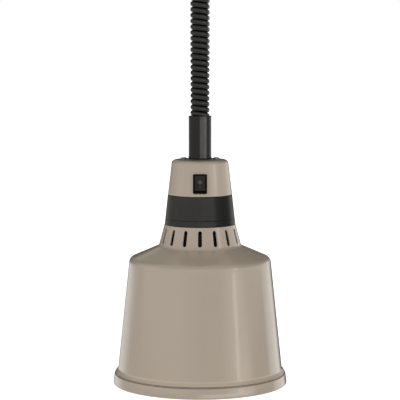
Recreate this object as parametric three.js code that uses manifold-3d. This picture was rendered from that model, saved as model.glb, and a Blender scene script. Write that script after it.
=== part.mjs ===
// Pendant heat lamp warmer: a spun shade and infrared bulb on a coiled cord, hung from a ceiling canopy
// that holds a spring reel. Units are millimetres, +Z is up, and the origin is the centre of the ceiling
// bracket's upper face, so that the whole lamp hangs below z = 0. The front, with the switch, faces -Y.

import * as THREE from 'three';
import { mergeVertices } from 'three/addons/utils/BufferGeometryUtils.js';
import Module from 'manifold-3d';

const wasm = await Module();
wasm.setup();

// ---------------------------------------------------------------- driving dimensions
// Heights in the lamp head (foot, top, height, middle) are measured up from the shade's lower edge.

const SHEET = 1.2; // wall of the pressed and spun sheet parts
const GAP = 0.35; // clearance left between neighbouring pieces
const CONTACT = 0.1; // the small gap under a part that is clamped against its neighbour

const RIM = { radius: 94.2, edge: 11, edgeRadius: 92.95, rounding: 3.2, top: 16.2 };
const BODY_FOOT_RADIUS = 89;
const SHOULDER = { radius: 76.3, height: 136.2, rounding: 6 };
const NECK_FOOT = { radius: 44.5, height: 150.1 };
const NECK_TOP = { radius: 38.3, height: 173.1 };
const FLANGE_BORE = 24.5; // opening in the shade's flat top, inside the neck
const SLOT = { count: 16, width: 4, length: 16.8, middle: 161.3, reach: 16 };

const COLLAR = { footRadius: 38.2, foot: 173.4, topRadius: 34.7, top: 205.2, bore: 31.4, boss: 4.4 };
const HOUSING = {
  footRadius: 34.6, foot: 205.5, topRadius: 30.2, top: 242.6, rounding: 4, crown: 1.1, crownRadius: 14,
};
const CROWN_TOP = HOUSING.top + HOUSING.crown;

// The rocker switch is the common 21 x 15 mm snap-in size; y is depth into the housing from its seat.
const SWITCH = {
  height: 21, width: 15, bodyHeight: 19, bodyWidth: 12.8, bezel: 1.9, depth: 11, middle: 219.3,
};
const SWITCH_OPENING_PLAY = 0.6;
const ROCKER = {
  height: 16.6, width: 11.2, tilt: 10, pivotDepth: 3.2,
  face: 2.1, dish: 1.2, edge: 1, back: 4, backInset: 1.2,
};
const BLADE = { width: 4.8, length: 7, thickness: 0.8, offset: 4.6 }; // the switch's two blade terminals

// The inner frame: a lower plate and an upper web, tied together by two legs.
const PLATE = { radius: 32.2, foot: 205.6, top: 207.6 };
const WEB = { radius: 23.6, foot: 239.2, top: 240.7 };
const LEG = { x: 21.6, width: 12, thickness: 1.5 };
const TIE_SCREW = {
  radius: 28.8, shank: 1.75, hole: 2.3, head: 3.8, headHeight: 2.4, washer: 4.6, washerHeight: 1, proud: 2.5,
};
const TOP_SCREW = { x: 17.4, shank: 1.8, hole: 2.2, head: 3.3, headHeight: 1, foot: 234 };
const EARTH_SCREW = { x: 10, y: 20, shank: 1.6, hole: 1.9, head: 3.4, headHeight: 2, foot: 202 };

// Sleeve, with a threaded spigot that goes through the housing and the web.
const SLEEVE = { radius: 12.4, top: 290, bore: 10.9, flare: 0.12, chamfer: 0.6 };
const SPIGOT = { radius: 10.5, bore: 9.2, foot: 235 };
const SLEEVE_WASHER_HEIGHT = 0.8;
const SLEEVE_NUT = { acrossFlats: 27, foot: 236 };
const ANCHOR = { radius: 11.6, foot: 233, top: 234.8 };
const FERRULE = { radius: 1.8, foot: 225 };
const GRIP = { width: 12, depth: 11, foot: 228.6, top: 232.6 };

// Coiled cord and the wire rope inside it.
const CABLE_RADIUS = 2.95;
const COIL = { radius: 7.45, pitch: 6.13, visible: 242, turnsInSleeve: 2 }; // with the lamp at its highest
const ROPE_RADIUS = 0.9;
const WIRE_RADIUS = 1;
const TAIL = { x: 2.95, y: 5.11, bend: 11, foot: 228 }; // the cord's end in the head, beside the rope

// E27 lamp and its holder.
const HOLDER = {
  radius: 20.5, foot: 150.5, mouth: 18.2, throat: 158.5, bore: 14.8, ceiling: 197,
  shoulder: 197.5, topRadius: 13, top: 204.9,
};
// Pressed cup round the holder, which keeps the bulb's heat off the collar. Its skirt hangs behind the slots.
const BAFFLE = {
  collarTop: 168, web: 166.5, corner: 36.3, footRadius: 39.6, foot: 152.5,
};
const HOLDER_SHELL = { foot: 167, top: 188 };
const HOLDER_CONTACT = { length: 12, width: 5, thickness: 0.8, middle: 192.4 };
const NIPPLE = { radius: 4.9, bore: 3.5, hole: 5.2, foot: 199.4, top: 212.2 };
const HOLDER_NUT = { acrossFlats: 16, height: 3.9 };
const GLASS = { thickness: 0.9, foot: 16.5, neckRadius: 12.1, neckTop: 172 };
// radius and height above the bulb's face
const BULB_PROFILE = [
  [0, 0], [34, 2.4], [52, 9], [60.5, 20], [62.5, 31], [60, 43], [52.5, 60], [40, 82], [27.5, 107],
  [18.6, 128], [14, 140], [GLASS.neckRadius, 147.5],
];
const BULB_CAP = { radius: 13.2, bore: 12.45, mouth: 8.4, foot: 165.5, top: 185.5, crown: 1.2 };
const INSULATOR = { radius: 8.1, topRadius: 4.8, foot: 183.5, rim: 186.9, top: 189.5 };
const BULB_CONTACT = { radius: 4, foot: 189.7, rim: 191.1, rimRadius: 3.2, top: 191.5 };
// radius and height of the glass stem, from its lower tip
const STEM_PROFILE = [
  [0, 112], [1.8, 112], [2.6, 116], [2.6, 150], [5, 160], [10.4, 171], [10.4, 172], [0, 172],
];
const FILAMENT = {
  radius: 0.6, leadX: 3.4, leadTop: 140, kneeX: 8, knee: 122, spread: 15, depth: 13, middle: 101,
};

// Ceiling unit.
const BRACKET = { radius: 53, thickness: 2, earX: 51.6, earWidth: 14, earThickness: 1.8, earDrop: 12 };
const CEILING_HOLES = { y: 38, radius: 2.7 };
const SUPPLY_HOLE = { x: 20, y: 24, radius: 6 };
const CANOPY = { radius: 56, top: -0.6, skirt: 42, depth: 78, footRadius: 22, outlet: 15.4 };
const CANOPY_SCREW = { z: -8, shank: 1.6, length: 11, hole: 2.2, earHole: 1.9, head: 3.6, headHeight: 2.2 };
const BALL = { z: -69.3, radius: 17, halfHeight: 9, throat: 10.95, flare: 0.24 }; // the pendant swings on it
const DRUM = {
  ropeRadius: 18, axisZ: -25.4, flangeRadius: 20.4, halfWidth: 10.9, flange: 1.4, floor: 2, core: 16.5,
};
const DRUM_COVER = { radius: 17.5, gap: 0.2, thickness: 1.1 };
const AXLE = { radius: 3, bore: 3.15, arbor: 5, overhang: 4 };
const CLIP = { radius: 5.4, thickness: 1, gap: 0.3 };
const CHEEK = { inner: 12.7, thickness: 1.5, width: 24, drop: 34, gap: 0.2 };
const SPRING = { inner: 5.6, outer: 14.4, turns: 5, thickness: 0.5, width: 15, foot: 2.6 };
const ROPE_WINDING = { turns: 4.3, pitch: 1.95 }; // with the lamp at its highest
const TERMINAL = {
  x: 30, width: 14, length: 26, foot: -15, top: -2.3, wellZ: -8.6, wellRadius: 2.6, wellStep: 8.4,
};
const CLAMP = { width: 12, length: 14, height: 5, middle: -17.8 };

const SLEEVE_TOP_Z = -(CANOPY.depth + COIL.visible);
const HEAD_Z = SLEEVE_TOP_Z - SLEEVE.top; // the shade's lower edge
const COIL_FOOT_Z = SLEEVE_TOP_Z - COIL.turnsInSleeve * COIL.pitch;
const COIL_TURNS = Math.round((BALL.z + BALL.radius - COIL_FOOT_Z) / COIL.pitch);
const COIL_TOP_Z = COIL_FOOT_Z + COIL_TURNS * COIL.pitch;

// Sides used for round parts, by size.
const ROUND = 40;
const MEDIUM_ROUND = 28;
const SMALL_ROUND = 20;
const SCREW_ROUND = 12;
const HOLE_ROUND = 8;
const THROUGH = 120; // length of a tool that cuts right through whatever it meets

const sides = [-1, 1];
const tieAngles = [90, 210, 330].map(THREE.MathUtils.degToRad);

// ---------------------------------------------------------------- materials

function material(color, roughness, metalness) {
  return new THREE.MeshStandardMaterial({ color, roughness, metalness });
}

const champagnePaint = material(0xa99d8c, 0.38, 0.25);
const darkPlastic = material(0x34322f, 0.55, 0);
const blackPlastic = material(0x1b1a17, 0.35, 0);
const cordRubber = material(0x232323, 0.5, 0);
const darkPaint = material(0x3a3a3a, 0.4, 0.1);
const steel = material(0xb4b6b8, 0.35, 0.9);
const brass = material(0xc2a05a, 0.3, 0.9);
const darkGlaze = material(0x2a2621, 0.25, 0);
const bulbGlass = material(0xe9e6df, 0.1, 0);
const tungsten = material(0x6c6a68, 0.5, 0.8);
const whitePlastic = material(0xe6e4dd, 0.5, 0);
const brownInsulation = material(0x6b4028, 0.5, 0);
const blueInsulation = material(0x2f5fa8, 0.5, 0);
const greenInsulation = material(0x5f9a3c, 0.5, 0);

// ---------------------------------------------------------------- geometry helpers

function toSolid(geometry) {
  const bare = geometry.index ? geometry.toNonIndexed() : geometry.clone();
  bare.deleteAttribute('normal');
  bare.deleteAttribute('uv');
  const merged = mergeVertices(bare, 1e-4);
  return new wasm.Manifold(new wasm.Mesh({
    numProp: 3,
    vertProperties: new Float32Array(merged.attributes.position.array),
    triVerts: new Uint32Array(merged.index.array),
  }));
}

function toGeometry(solid) {
  const mesh = solid.getMesh();
  const geometry = new THREE.BufferGeometry();
  geometry.setAttribute('position', new THREE.BufferAttribute(mesh.vertProperties, 3));
  geometry.setIndex(new THREE.BufferAttribute(mesh.triVerts, 1));
  geometry.computeVertexNormals();
  return geometry;
}

function join(...geometries) {
  return toGeometry(geometries.map(toSolid).reduce((a, b) => a.add(b)));
}

function cut(base, ...tools) {
  return toGeometry(tools.map(toSolid).reduce((a, b) => a.subtract(b), toSolid(base)));
}

// Turns a closed [radius, height] outline about the Z axis.
function revolve(outline, facets = ROUND) {
  const points = outline.map(([r, z]) => new THREE.Vector2(r, z));
  if (THREE.ShapeUtils.area(points) < 0) points.reverse();
  const touchesAxis = points.some((p) => p.x === 0);
  if (touchesAxis) {
    // the outline must start and end on the axis
    while (points[0].x !== 0 || points[points.length - 1].x !== 0) points.push(points.shift());
  } else {
    points.push(points[0].clone());
  }
  return toGeometry(toSolid(new THREE.LatheGeometry(points, facets).rotateX(Math.PI / 2)));
}

function disc(radius, bottom, top, facets = SMALL_ROUND) {
  return new THREE.CylinderGeometry(radius, radius, top - bottom, facets)
    .rotateX(Math.PI / 2)
    .translate(0, 0, (top + bottom) / 2);
}

function ring(outer, inner, bottom, top, facets = SMALL_ROUND) {
  return revolve([[inner, bottom], [outer, bottom], [outer, top], [inner, top]], facets);
}

// An upright hole right through the head's middle parts.
function boreThrough(radius, facets = SCREW_ROUND) {
  return disc(radius, PLATE.foot - THROUGH, PLATE.foot + THROUGH, facets);
}

// A rod along X, centred on the origin.
function rodAlongX(radius, length, facets = SCREW_ROUND) {
  return new THREE.CylinderGeometry(radius, radius, length, facets).rotateZ(Math.PI / 2);
}

function box(size, centre) {
  return new THREE.BoxGeometry(...size).translate(...centre);
}

// Hexagonal prism with flats facing +X and -X.
function hexagon(acrossFlats, bottom, top) {
  return disc(acrossFlats / Math.sqrt(3), bottom, top, 6);
}

// A round tube along a curve, closed at both ends.
function tube(curve, radius, steps, facets = 6) {
  const section = new THREE.Shape();
  for (let i = 0; i < facets; i += 1) {
    const a = (2 * Math.PI * i) / facets;
    section[i ? 'lineTo' : 'moveTo'](radius * Math.cos(a), radius * Math.sin(a));
  }
  curve.arcLengthDivisions = 6 * steps;
  return new THREE.ExtrudeGeometry(section, { steps, bevelEnabled: false, extrudePath: curve });
}

function tubeThrough(points, radius, steps) {
  return tube(new THREE.CatmullRomCurve3(points.map((p) => new THREE.Vector3(...p))), radius, steps);
}

// Points of an arc of an ellipse, from angle a0 to a1 in radians.
function arc([cx, cz], [rx, rz], a0, a1, steps) {
  return Array.from({ length: steps + 1 }, (_, i) => {
    const a = a0 + ((a1 - a0) * i) / steps;
    return [cx + rx * Math.cos(a), cz + rz * Math.sin(a)];
  });
}

// The arc that rounds the corner b of the path a-b-c.
function rounded(a, b, c, radius, steps) {
  const [pa, pb, pc] = [a, b, c].map(([x, z]) => new THREE.Vector2(x, z));
  const u = pa.clone().sub(pb).normalize();
  const v = pc.clone().sub(pb).normalize();
  const half = Math.acos(u.dot(v)) / 2;
  const centre = u.clone().add(v).normalize().multiplyScalar(radius / Math.sin(half)).add(pb);
  const from = u.clone().multiplyScalar(radius / Math.tan(half)).add(pb).sub(centre);
  const to = v.clone().multiplyScalar(radius / Math.tan(half)).add(pb).sub(centre);
  let sweep = to.angle() - from.angle();
  if (sweep > Math.PI) sweep -= 2 * Math.PI;
  if (sweep < -Math.PI) sweep += 2 * Math.PI;
  return arc([centre.x, centre.y], [radius, radius], from.angle(), from.angle() + sweep, steps);
}

// Button head standing on z = 0.
function buttonHead(radius, height) {
  return revolve([
    [0, 0], [radius, 0], [radius * 0.93, height * 0.55], [radius * 0.6, height], [0, height],
  ], SCREW_ROUND);
}

// ---------------------------------------------------------------- shade

// Profile of the spun sheet from its lower edge to the foot of the neck, inset from its outer face.
function shadeProfile(inset, roundingSteps) {
  const lip = [RIM.radius - inset, 0];
  const lean = 0.4; // the inner corners of the rim sit lower by this share of the inset
  const rimEdge = [RIM.edgeRadius - inset, RIM.edge - lean * inset];
  const foot = [BODY_FOOT_RADIUS - inset, RIM.top - lean * inset];
  const shoulder = [SHOULDER.radius - inset, SHOULDER.height - inset];
  const neckFoot = [NECK_FOOT.radius - inset, NECK_FOOT.height - inset];
  return [
    lip, ...rounded(lip, rimEdge, foot, RIM.rounding - inset, roundingSteps - 1),
    foot, ...rounded(foot, shoulder, neckFoot, SHOULDER.rounding - inset, roundingSteps),
    neckFoot,
  ];
}

function ventSlot() {
  const half = SLOT.width / 2;
  const straight = SLOT.length / 2 - half;
  const outline = new THREE.Shape();
  outline.absarc(0, straight, half, 0, Math.PI, false);
  outline.absarc(0, -straight, half, Math.PI, 2 * Math.PI, false);
  return new THREE.ExtrudeGeometry(outline, { depth: SLOT.reach, bevelEnabled: false, curveSegments: 2 })
    .rotateX(Math.PI / 2)
    .translate(0, -NECK_TOP.radius + SLOT.reach / 2, SLOT.middle);
}

function atTieScrew(geometry, angle) {
  return geometry.translate(TIE_SCREW.radius * Math.cos(angle), TIE_SCREW.radius * Math.sin(angle), 0);
}

function tieScrewHoles() {
  return tieAngles.map((angle) => atTieScrew(boreThrough(TIE_SCREW.hole, HOLE_ROUND), angle));
}

function shade() {
  const flangeFoot = NECK_TOP.height - SHEET;
  const shell = revolve([
    ...shadeProfile(0, 3),
    [NECK_TOP.radius, NECK_TOP.height], [FLANGE_BORE, NECK_TOP.height],
    [FLANGE_BORE, flangeFoot], [NECK_TOP.radius - SHEET, flangeFoot],
    ...shadeProfile(SHEET, 2).reverse(),
  ]);
  const slots = Array.from({ length: SLOT.count }, (_, i) =>
    ventSlot().rotateZ((2 * Math.PI * i) / SLOT.count));
  return cut(shell, ...slots, ...tieScrewHoles());
}

// ---------------------------------------------------------------- collar and upper housing

function gripCollar() {
  const wall = revolve([
    [COLLAR.bore, COLLAR.foot], [COLLAR.footRadius, COLLAR.foot],
    [COLLAR.topRadius, COLLAR.top], [COLLAR.bore, COLLAR.top],
  ]);
  const bosses = tieAngles.map((angle) =>
    atTieScrew(disc(COLLAR.boss, COLLAR.foot, COLLAR.top, SCREW_ROUND), angle));
  return cut(join(wall, ...bosses), ...tieScrewHoles());
}

const HOUSING_LEAN = Math.atan2(HOUSING.footRadius - HOUSING.topRadius, HOUSING.top - HOUSING.foot);
const SEAT_RADIUS = HOUSING.footRadius - (SWITCH.middle - HOUSING.foot) * Math.tan(HOUSING_LEAN);

// Everything on the switch is built facing -Y with its seat at y = 0, then leaned with the housing's cone.
function ontoSeat(geometry) {
  return geometry.rotateX(-HOUSING_LEAN).translate(0, -SEAT_RADIUS, SWITCH.middle);
}

function housingSolid(inset) {
  const crown = [HOUSING.crownRadius, CROWN_TOP - inset];
  const shoulder = [HOUSING.topRadius - inset, HOUSING.top - inset];
  const foot = [HOUSING.footRadius - inset, HOUSING.foot - Math.sign(inset)];
  return revolve([
    [0, foot[1]], foot,
    ...rounded(foot, shoulder, crown, HOUSING.rounding - inset, 3), crown, [0, crown[1]],
  ]);
}

function topScrewHoles() {
  return sides.map((side) => disc(TOP_SCREW.hole, WEB.foot - 1, CROWN_TOP + 1, SCREW_ROUND)
    .translate(side * TOP_SCREW.x, 0, 0));
}

function spigotHole() {
  return disc(SPIGOT.radius + GAP, SPIGOT.foot - 1, CROWN_TOP + 1);
}

function upperHousing() {
  const shell = cut(housingSolid(0), housingSolid(SHEET));
  const width = SWITCH.bodyWidth + SWITCH_OPENING_PLAY;
  const height = SWITCH.bodyHeight + SWITCH_OPENING_PLAY;
  const opening = ontoSeat(box([width, SWITCH.depth, height], [0, 0, 0]));
  return cut(shell, opening, spigotHole(), ...topScrewHoles());
}

// ---------------------------------------------------------------- rocker switch

function switchBody() {
  const backReach = 1.4; // the bezel's back follows the housing's curve
  const bezelDepth = SWITCH.bezel + backReach;
  const bezel = cut(
    ontoSeat(box([SWITCH.width, bezelDepth, SWITCH.height], [0, bezelDepth / 2 - SWITCH.bezel, 0])),
    housingSolid(-CONTACT));
  const overlap = 0.5; // into the bezel
  const body = ontoSeat(box(
    [SWITCH.bodyWidth, SWITCH.depth + overlap, SWITCH.bodyHeight], [0, (SWITCH.depth - overlap) / 2, 0]));
  const wellBack = 7;
  const well = ontoSeat(box(
    [ROCKER.width + 2 * GAP, wellBack + 2 * SWITCH.bezel, ROCKER.height + 1.6],
    [0, wellBack / 2 - SWITCH.bezel, 0]));
  return cut(join(bezel, body), well);
}

// A rocker with a slightly dished face; at rest its upper half is pressed in.
function switchRocker() {
  const half = ROCKER.height / 2;
  // outline seen from the side: height, then depth
  const outline = [
    [-half + ROCKER.backInset, ROCKER.back], [-half, -ROCKER.edge], [-half + GAP, -ROCKER.face],
    [0, -ROCKER.face + ROCKER.dish],
    [half - GAP, -ROCKER.face], [half, -ROCKER.edge], [half - ROCKER.backInset, ROCKER.back],
  ];
  const side = new THREE.Shape(outline.map(([height, depth]) => new THREE.Vector2(height, depth)));
  const heightUp = new THREE.Matrix4().makeBasis(
    new THREE.Vector3(0, 0, 1), new THREE.Vector3(0, 1, 0), new THREE.Vector3(-1, 0, 0));
  return ontoSeat(new THREE.ExtrudeGeometry(side, { depth: ROCKER.width, bevelEnabled: false })
    .translate(0, 0, -ROCKER.width / 2)
    .applyMatrix4(heightUp)
    .translate(0, -ROCKER.pivotDepth, 0)
    .rotateX(THREE.MathUtils.degToRad(-ROCKER.tilt))
    .translate(0, ROCKER.pivotDepth, 0));
}

function switchTerminal(height) {
  return ontoSeat(box(
    [BLADE.width, BLADE.length, BLADE.thickness], [0, SWITCH.depth + BLADE.length / 2 + GAP, height]));
}

// ---------------------------------------------------------------- inner frame and fastenings

function innerFrame() {
  const leg = (side) => box(
    [LEG.thickness, LEG.width, WEB.top - PLATE.foot], [side * LEG.x, 0, (WEB.top + PLATE.foot) / 2]);
  const body = join(
    disc(PLATE.radius, PLATE.foot, PLATE.top, MEDIUM_ROUND),
    disc(WEB.radius, WEB.foot, WEB.top, MEDIUM_ROUND),
    ...sides.map(leg));
  const nippleHole = disc(NIPPLE.hole, PLATE.foot - 1, PLATE.top + 1);
  const earthHole = disc(EARTH_SCREW.hole, PLATE.foot - 1, PLATE.top + 1, SCREW_ROUND)
    .translate(EARTH_SCREW.x, EARTH_SCREW.y, 0);
  return cut(body, spigotHole(), nippleHole, earthHole, ...topScrewHoles(), ...tieScrewHoles());
}

function topScrew(side) {
  const head = buttonHead(TOP_SCREW.head, TOP_SCREW.headHeight).translate(0, 0, CROWN_TOP + CONTACT);
  const shank = disc(TOP_SCREW.shank, TOP_SCREW.foot, CROWN_TOP + 2 * GAP, SCREW_ROUND);
  return join(head, shank).translate(side * TOP_SCREW.x, 0, 0);
}

function tieScrew(angle) {
  const washerTop = NECK_TOP.height - SHEET - CONTACT;
  const washerFoot = washerTop - TIE_SCREW.washerHeight;
  const head = buttonHead(TIE_SCREW.head, TIE_SCREW.headHeight)
    .rotateX(Math.PI)
    .translate(0, 0, washerFoot);
  const washer = disc(TIE_SCREW.washer, washerFoot, washerTop, SCREW_ROUND);
  const shank = disc(TIE_SCREW.shank, washerFoot - GAP, PLATE.top + TIE_SCREW.proud, SCREW_ROUND);
  return atTieScrew(join(head, washer, shank), angle);
}

function earthScrew() {
  const head = buttonHead(EARTH_SCREW.head, EARTH_SCREW.headHeight).translate(0, 0, PLATE.top + CONTACT);
  const shank = disc(EARTH_SCREW.shank, EARTH_SCREW.foot, PLATE.top + 2 * GAP, SCREW_ROUND);
  return join(head, shank).translate(EARTH_SCREW.x, EARTH_SCREW.y, 0);
}

// ---------------------------------------------------------------- cord sleeve and rope anchor

const WASHER_FOOT = CROWN_TOP + CONTACT;
const SLEEVE_FOOT = WASHER_FOOT + SLEEVE_WASHER_HEIGHT + CONTACT;

function sleeveWasher() {
  return ring(
    SLEEVE.radius, SPIGOT.radius + GAP, WASHER_FOOT, WASHER_FOOT + SLEEVE_WASHER_HEIGHT, MEDIUM_ROUND);
}

function cordSleeve() {
  const boreFoot = SLEEVE_FOOT + 4;
  return revolve([
    [SPIGOT.bore, SPIGOT.foot], [SPIGOT.radius, SPIGOT.foot], [SPIGOT.radius, SLEEVE_FOOT],
    [SLEEVE.radius + SLEEVE.flare, SLEEVE_FOOT], [SLEEVE.radius, SLEEVE.top - SLEEVE.chamfer],
    [SLEEVE.radius - SLEEVE.chamfer, SLEEVE.top], [SLEEVE.bore, SLEEVE.top],
    [SLEEVE.bore, boreFoot], [SPIGOT.bore, boreFoot - (SLEEVE.bore - SPIGOT.bore)],
  ], MEDIUM_ROUND);
}

function sleeveNut() {
  return cut(hexagon(SLEEVE_NUT.acrossFlats, SLEEVE_NUT.foot, WEB.foot - CONTACT), spigotHole());
}

function cordHole(play) {
  return disc(CABLE_RADIUS + play, GRIP.foot - 1, SPIGOT.foot, SCREW_ROUND).translate(TAIL.x, TAIL.y, 0);
}

function anchorPlate() {
  return cut(disc(ANCHOR.radius, ANCHOR.foot, ANCHOR.top), boreThrough(ROPE_RADIUS + GAP), cordHole(GAP));
}

// Swaged on the rope's end, under the anchor plate.
function ropeFerrule() {
  return disc(FERRULE.radius, FERRULE.foot, ANCHOR.foot - 2 * CONTACT, SCREW_ROUND);
}

function cordGrip() {
  const offset = 1.5; // of the block's middle beyond the cord
  const block = box(
    [GRIP.width, GRIP.depth, GRIP.top - GRIP.foot],
    [TAIL.x, TAIL.y + offset, (GRIP.top + GRIP.foot) / 2]);
  return cut(block, cordHole(CONTACT), boreThrough(FERRULE.radius + GAP));
}

// ---------------------------------------------------------------- coiled cord and rope

// Left-handed coil running down; both its ends are on the +X side.
class CoilCurve extends THREE.Curve {
  getPoint(t, target = new THREE.Vector3()) {
    const turn = COIL_TURNS * t;
    const angle = 2 * Math.PI * turn;
    return target.set(
      COIL.radius * Math.cos(angle), COIL.radius * Math.sin(angle), COIL_TOP_Z - COIL.pitch * turn);
  }
}

function coilCord() {
  const stepsPerTurn = 8;
  return tube(new CoilCurve(), CABLE_RADIUS, stepsPerTurn * COIL_TURNS, 4);
}

// The cord turns down out of its last coil inside the sleeve, and runs straight to the grip.
function cordTail() {
  const top = COIL_FOOT_Z - HEAD_Z;
  const bendFoot = new THREE.Vector3(TAIL.x, TAIL.y, top - TAIL.bend);
  const start = new THREE.Vector3(COIL.radius, GAP, top - 2 * CONTACT);
  const startPull = start.clone().add(new THREE.Vector3(0, 3.6, -1));
  const footPull = bendFoot.clone().add(new THREE.Vector3(0, 0, 7));
  const path = new THREE.CurvePath();
  path.add(new THREE.CubicBezierCurve3(start, startPull, footPull, bendFoot));
  path.add(new THREE.LineCurve3(bendFoot, new THREE.Vector3(TAIL.x, TAIL.y, TAIL.foot)));
  return tube(path, CABLE_RADIUS, 16);
}

function hangingRope() {
  return disc(ROPE_RADIUS, HEAD_Z + ANCHOR.foot, DRUM.axisZ - GAP, HOLE_ROUND);
}

// ---------------------------------------------------------------- lamp holder and bulb

function lampHolder() {
  const ceiling = HOLDER.ceiling;
  return revolve([
    [HOLDER.bore, HOLDER.throat], [HOLDER.mouth, HOLDER.foot],
    [HOLDER.radius, HOLDER.foot], [HOLDER.radius, HOLDER.shoulder],
    [HOLDER.topRadius, HOLDER.top], [NIPPLE.hole, HOLDER.top],
    [NIPPLE.hole, ceiling + 2], [HOLDER.bore, ceiling],
  ], MEDIUM_ROUND);
}

function heatBaffle() {
  const bore = HOLDER.radius + GAP;
  const { collarTop, web, corner, footRadius, foot } = BAFFLE;
  return revolve([
    [bore, web - SHEET], [corner - SHEET, web - SHEET], [footRadius - SHEET, foot], [footRadius, foot],
    [corner, web], [bore + SHEET, web], [bore + SHEET, collarTop], [bore, collarTop],
  ]);
}

function holderShell() {
  const bore = BULB_CAP.radius + GAP + CONTACT;
  return ring(HOLDER.bore - GAP, bore, HOLDER_SHELL.foot, HOLDER_SHELL.top, MEDIUM_ROUND);
}

function holderContact() {
  const { length, width, thickness, middle } = HOLDER_CONTACT;
  return box([length, width, thickness], [0, 0, middle]);
}

function holderNipple() {
  return ring(NIPPLE.radius, NIPPLE.bore, NIPPLE.foot, NIPPLE.top);
}

function holderNut() {
  const foot = PLATE.top + CONTACT;
  const nut = hexagon(HOLDER_NUT.acrossFlats, foot, foot + HOLDER_NUT.height);
  return cut(nut, boreThrough(NIPPLE.hole, SMALL_ROUND));
}

// Outline of the reflector bulb from its face to its neck, inset from its outer face.
function bulbOutline(inset) {
  const facePoints = 3; // these are inset upwards too
  return BULB_PROFILE.map(([radius, height], i) =>
    [Math.max(radius - inset, 0), GLASS.foot + height + (i < facePoints ? inset : 0)]);
}

function bulbEnvelope() {
  return revolve([
    ...bulbOutline(0), [GLASS.neckRadius, GLASS.neckTop],
    [GLASS.neckRadius - GLASS.thickness, GLASS.neckTop], ...bulbOutline(GLASS.thickness).reverse(),
  ], MEDIUM_ROUND);
}

function bulbCap() {
  const { radius, bore, mouth, foot, top, crown } = BULB_CAP;
  return revolve([
    [bore, foot], [radius, foot], [radius, top],
    [mouth, top + crown], [mouth, top + GAP], [bore, top - 2 * GAP],
  ], MEDIUM_ROUND);
}

function bulbInsulator() {
  return revolve([
    [0, INSULATOR.foot], [INSULATOR.radius, INSULATOR.foot], [INSULATOR.radius, INSULATOR.rim],
    [INSULATOR.topRadius, INSULATOR.top], [0, INSULATOR.top],
  ], SMALL_ROUND);
}

function bulbContact() {
  return revolve([
    [0, BULB_CONTACT.foot], [BULB_CONTACT.radius, BULB_CONTACT.foot],
    [BULB_CONTACT.rimRadius, BULB_CONTACT.rim], [0, BULB_CONTACT.top],
  ], SCREW_ROUND);
}

// A lead, an arc of coiled wire round the front, and the other lead.
function filament() {
  const { leadX, leadTop, kneeX, knee, spread, depth, middle } = FILAMENT;
  const lead = [[leadX, 0, leadTop], [kneeX, 0, knee], [spread, 0, middle + 3]];
  const corner = [0.73 * spread, 0.7 * depth, middle];
  const half = [...lead, corner];
  const mirrored = half.map(([x, y, z]) => [-x, y, z]).reverse();
  return tubeThrough([...half, [0, depth, middle - 2], ...mirrored], FILAMENT.radius, 24);
}

// ---------------------------------------------------------------- wiring in the head

const WIRE_STEPS = 10;
const TAIL_FOOT = TAIL.foot - 1; // where the cord's cores come out of its sheath
const NIPPLE_WIRE_X = 1.5; // two wires go down side by side through the nipple

function throughNipple(x) {
  return [[x, 0, NIPPLE.top + 1.5], [x, 0, PLATE.foot], [x, 0, NIPPLE.foot + GAP]];
}

function liveWire() {
  const terminal = SWITCH.middle + BLADE.offset - 2;
  return tubeThrough([
    [TAIL.x - 1.5, TAIL.y - 0.6, TAIL_FOOT], [TAIL.x - 2, TAIL.y - 0.8, TAIL_FOOT - 2],
    [0.4, 1, TAIL_FOOT - 4.6], [0.4, -7, terminal + 0.4], [0, -13.7, terminal],
  ], WIRE_RADIUS, WIRE_STEPS);
}

function switchedLiveWire() {
  const terminal = SWITCH.middle - BLADE.offset - 2;
  return tubeThrough([
    [0, -14.8, terminal], [-0.6, -8.8, terminal + 0.8], [-NIPPLE_WIRE_X, -3.4, NIPPLE.top + 4.2],
    ...throughNipple(-NIPPLE_WIRE_X),
  ], WIRE_RADIUS, WIRE_STEPS);
}

function neutralWire() {
  return tubeThrough([
    [TAIL.x + 1.5, TAIL.y - 0.8, TAIL_FOOT], [TAIL.x + 1.9, TAIL.y - 1, TAIL_FOOT - 3],
    [TAIL.x + 0.6, 1.6, NIPPLE.top + 6.2], ...throughNipple(NIPPLE_WIRE_X),
  ], WIRE_RADIUS, WIRE_STEPS);
}

function earthWire() {
  const screwTop = PLATE.top + EARTH_SCREW.headHeight;
  return tubeThrough([
    [TAIL.x, TAIL.y + 1.7, TAIL_FOOT], [TAIL.x, TAIL.y + 2.6, TAIL_FOOT - 3], [6.4, 13, screwTop + 7.4],
    [EARTH_SCREW.x - 1.4, EARTH_SCREW.y - 4.4, screwTop + 2],
  ], WIRE_RADIUS, WIRE_STEPS);
}

// ---------------------------------------------------------------- ceiling unit

function ceilingBracket() {
  const earHeight = BRACKET.earDrop + BRACKET.thickness;
  const ears = sides.map((side) => box(
    [BRACKET.earThickness, BRACKET.earWidth, earHeight], [side * BRACKET.earX, 0, -earHeight / 2]));
  const through = (radius, facets) => disc(radius, -2 * BRACKET.thickness, BRACKET.thickness, facets);
  const ceilingHole = (side) => through(CEILING_HOLES.radius, SCREW_ROUND)
    .translate(0, side * CEILING_HOLES.y, 0);
  return cut(
    join(disc(BRACKET.radius, -BRACKET.thickness, 0, ROUND), ...ears),
    ...sides.map(ceilingHole),
    through(SUPPLY_HOLE.radius, SMALL_ROUND).translate(SUPPLY_HOLE.x, SUPPLY_HOLE.y, 0),
    rodAlongX(CANOPY_SCREW.earHole, THROUGH).translate(0, 0, CANOPY_SCREW.z));
}

function canopySurface(inset) {
  const reach = [CANOPY.radius - CANOPY.footRadius - inset, CANOPY.depth - CANOPY.skirt - inset];
  return arc([CANOPY.footRadius, -CANOPY.skirt], reach, 0, -Math.PI / 2, 5);
}

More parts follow.
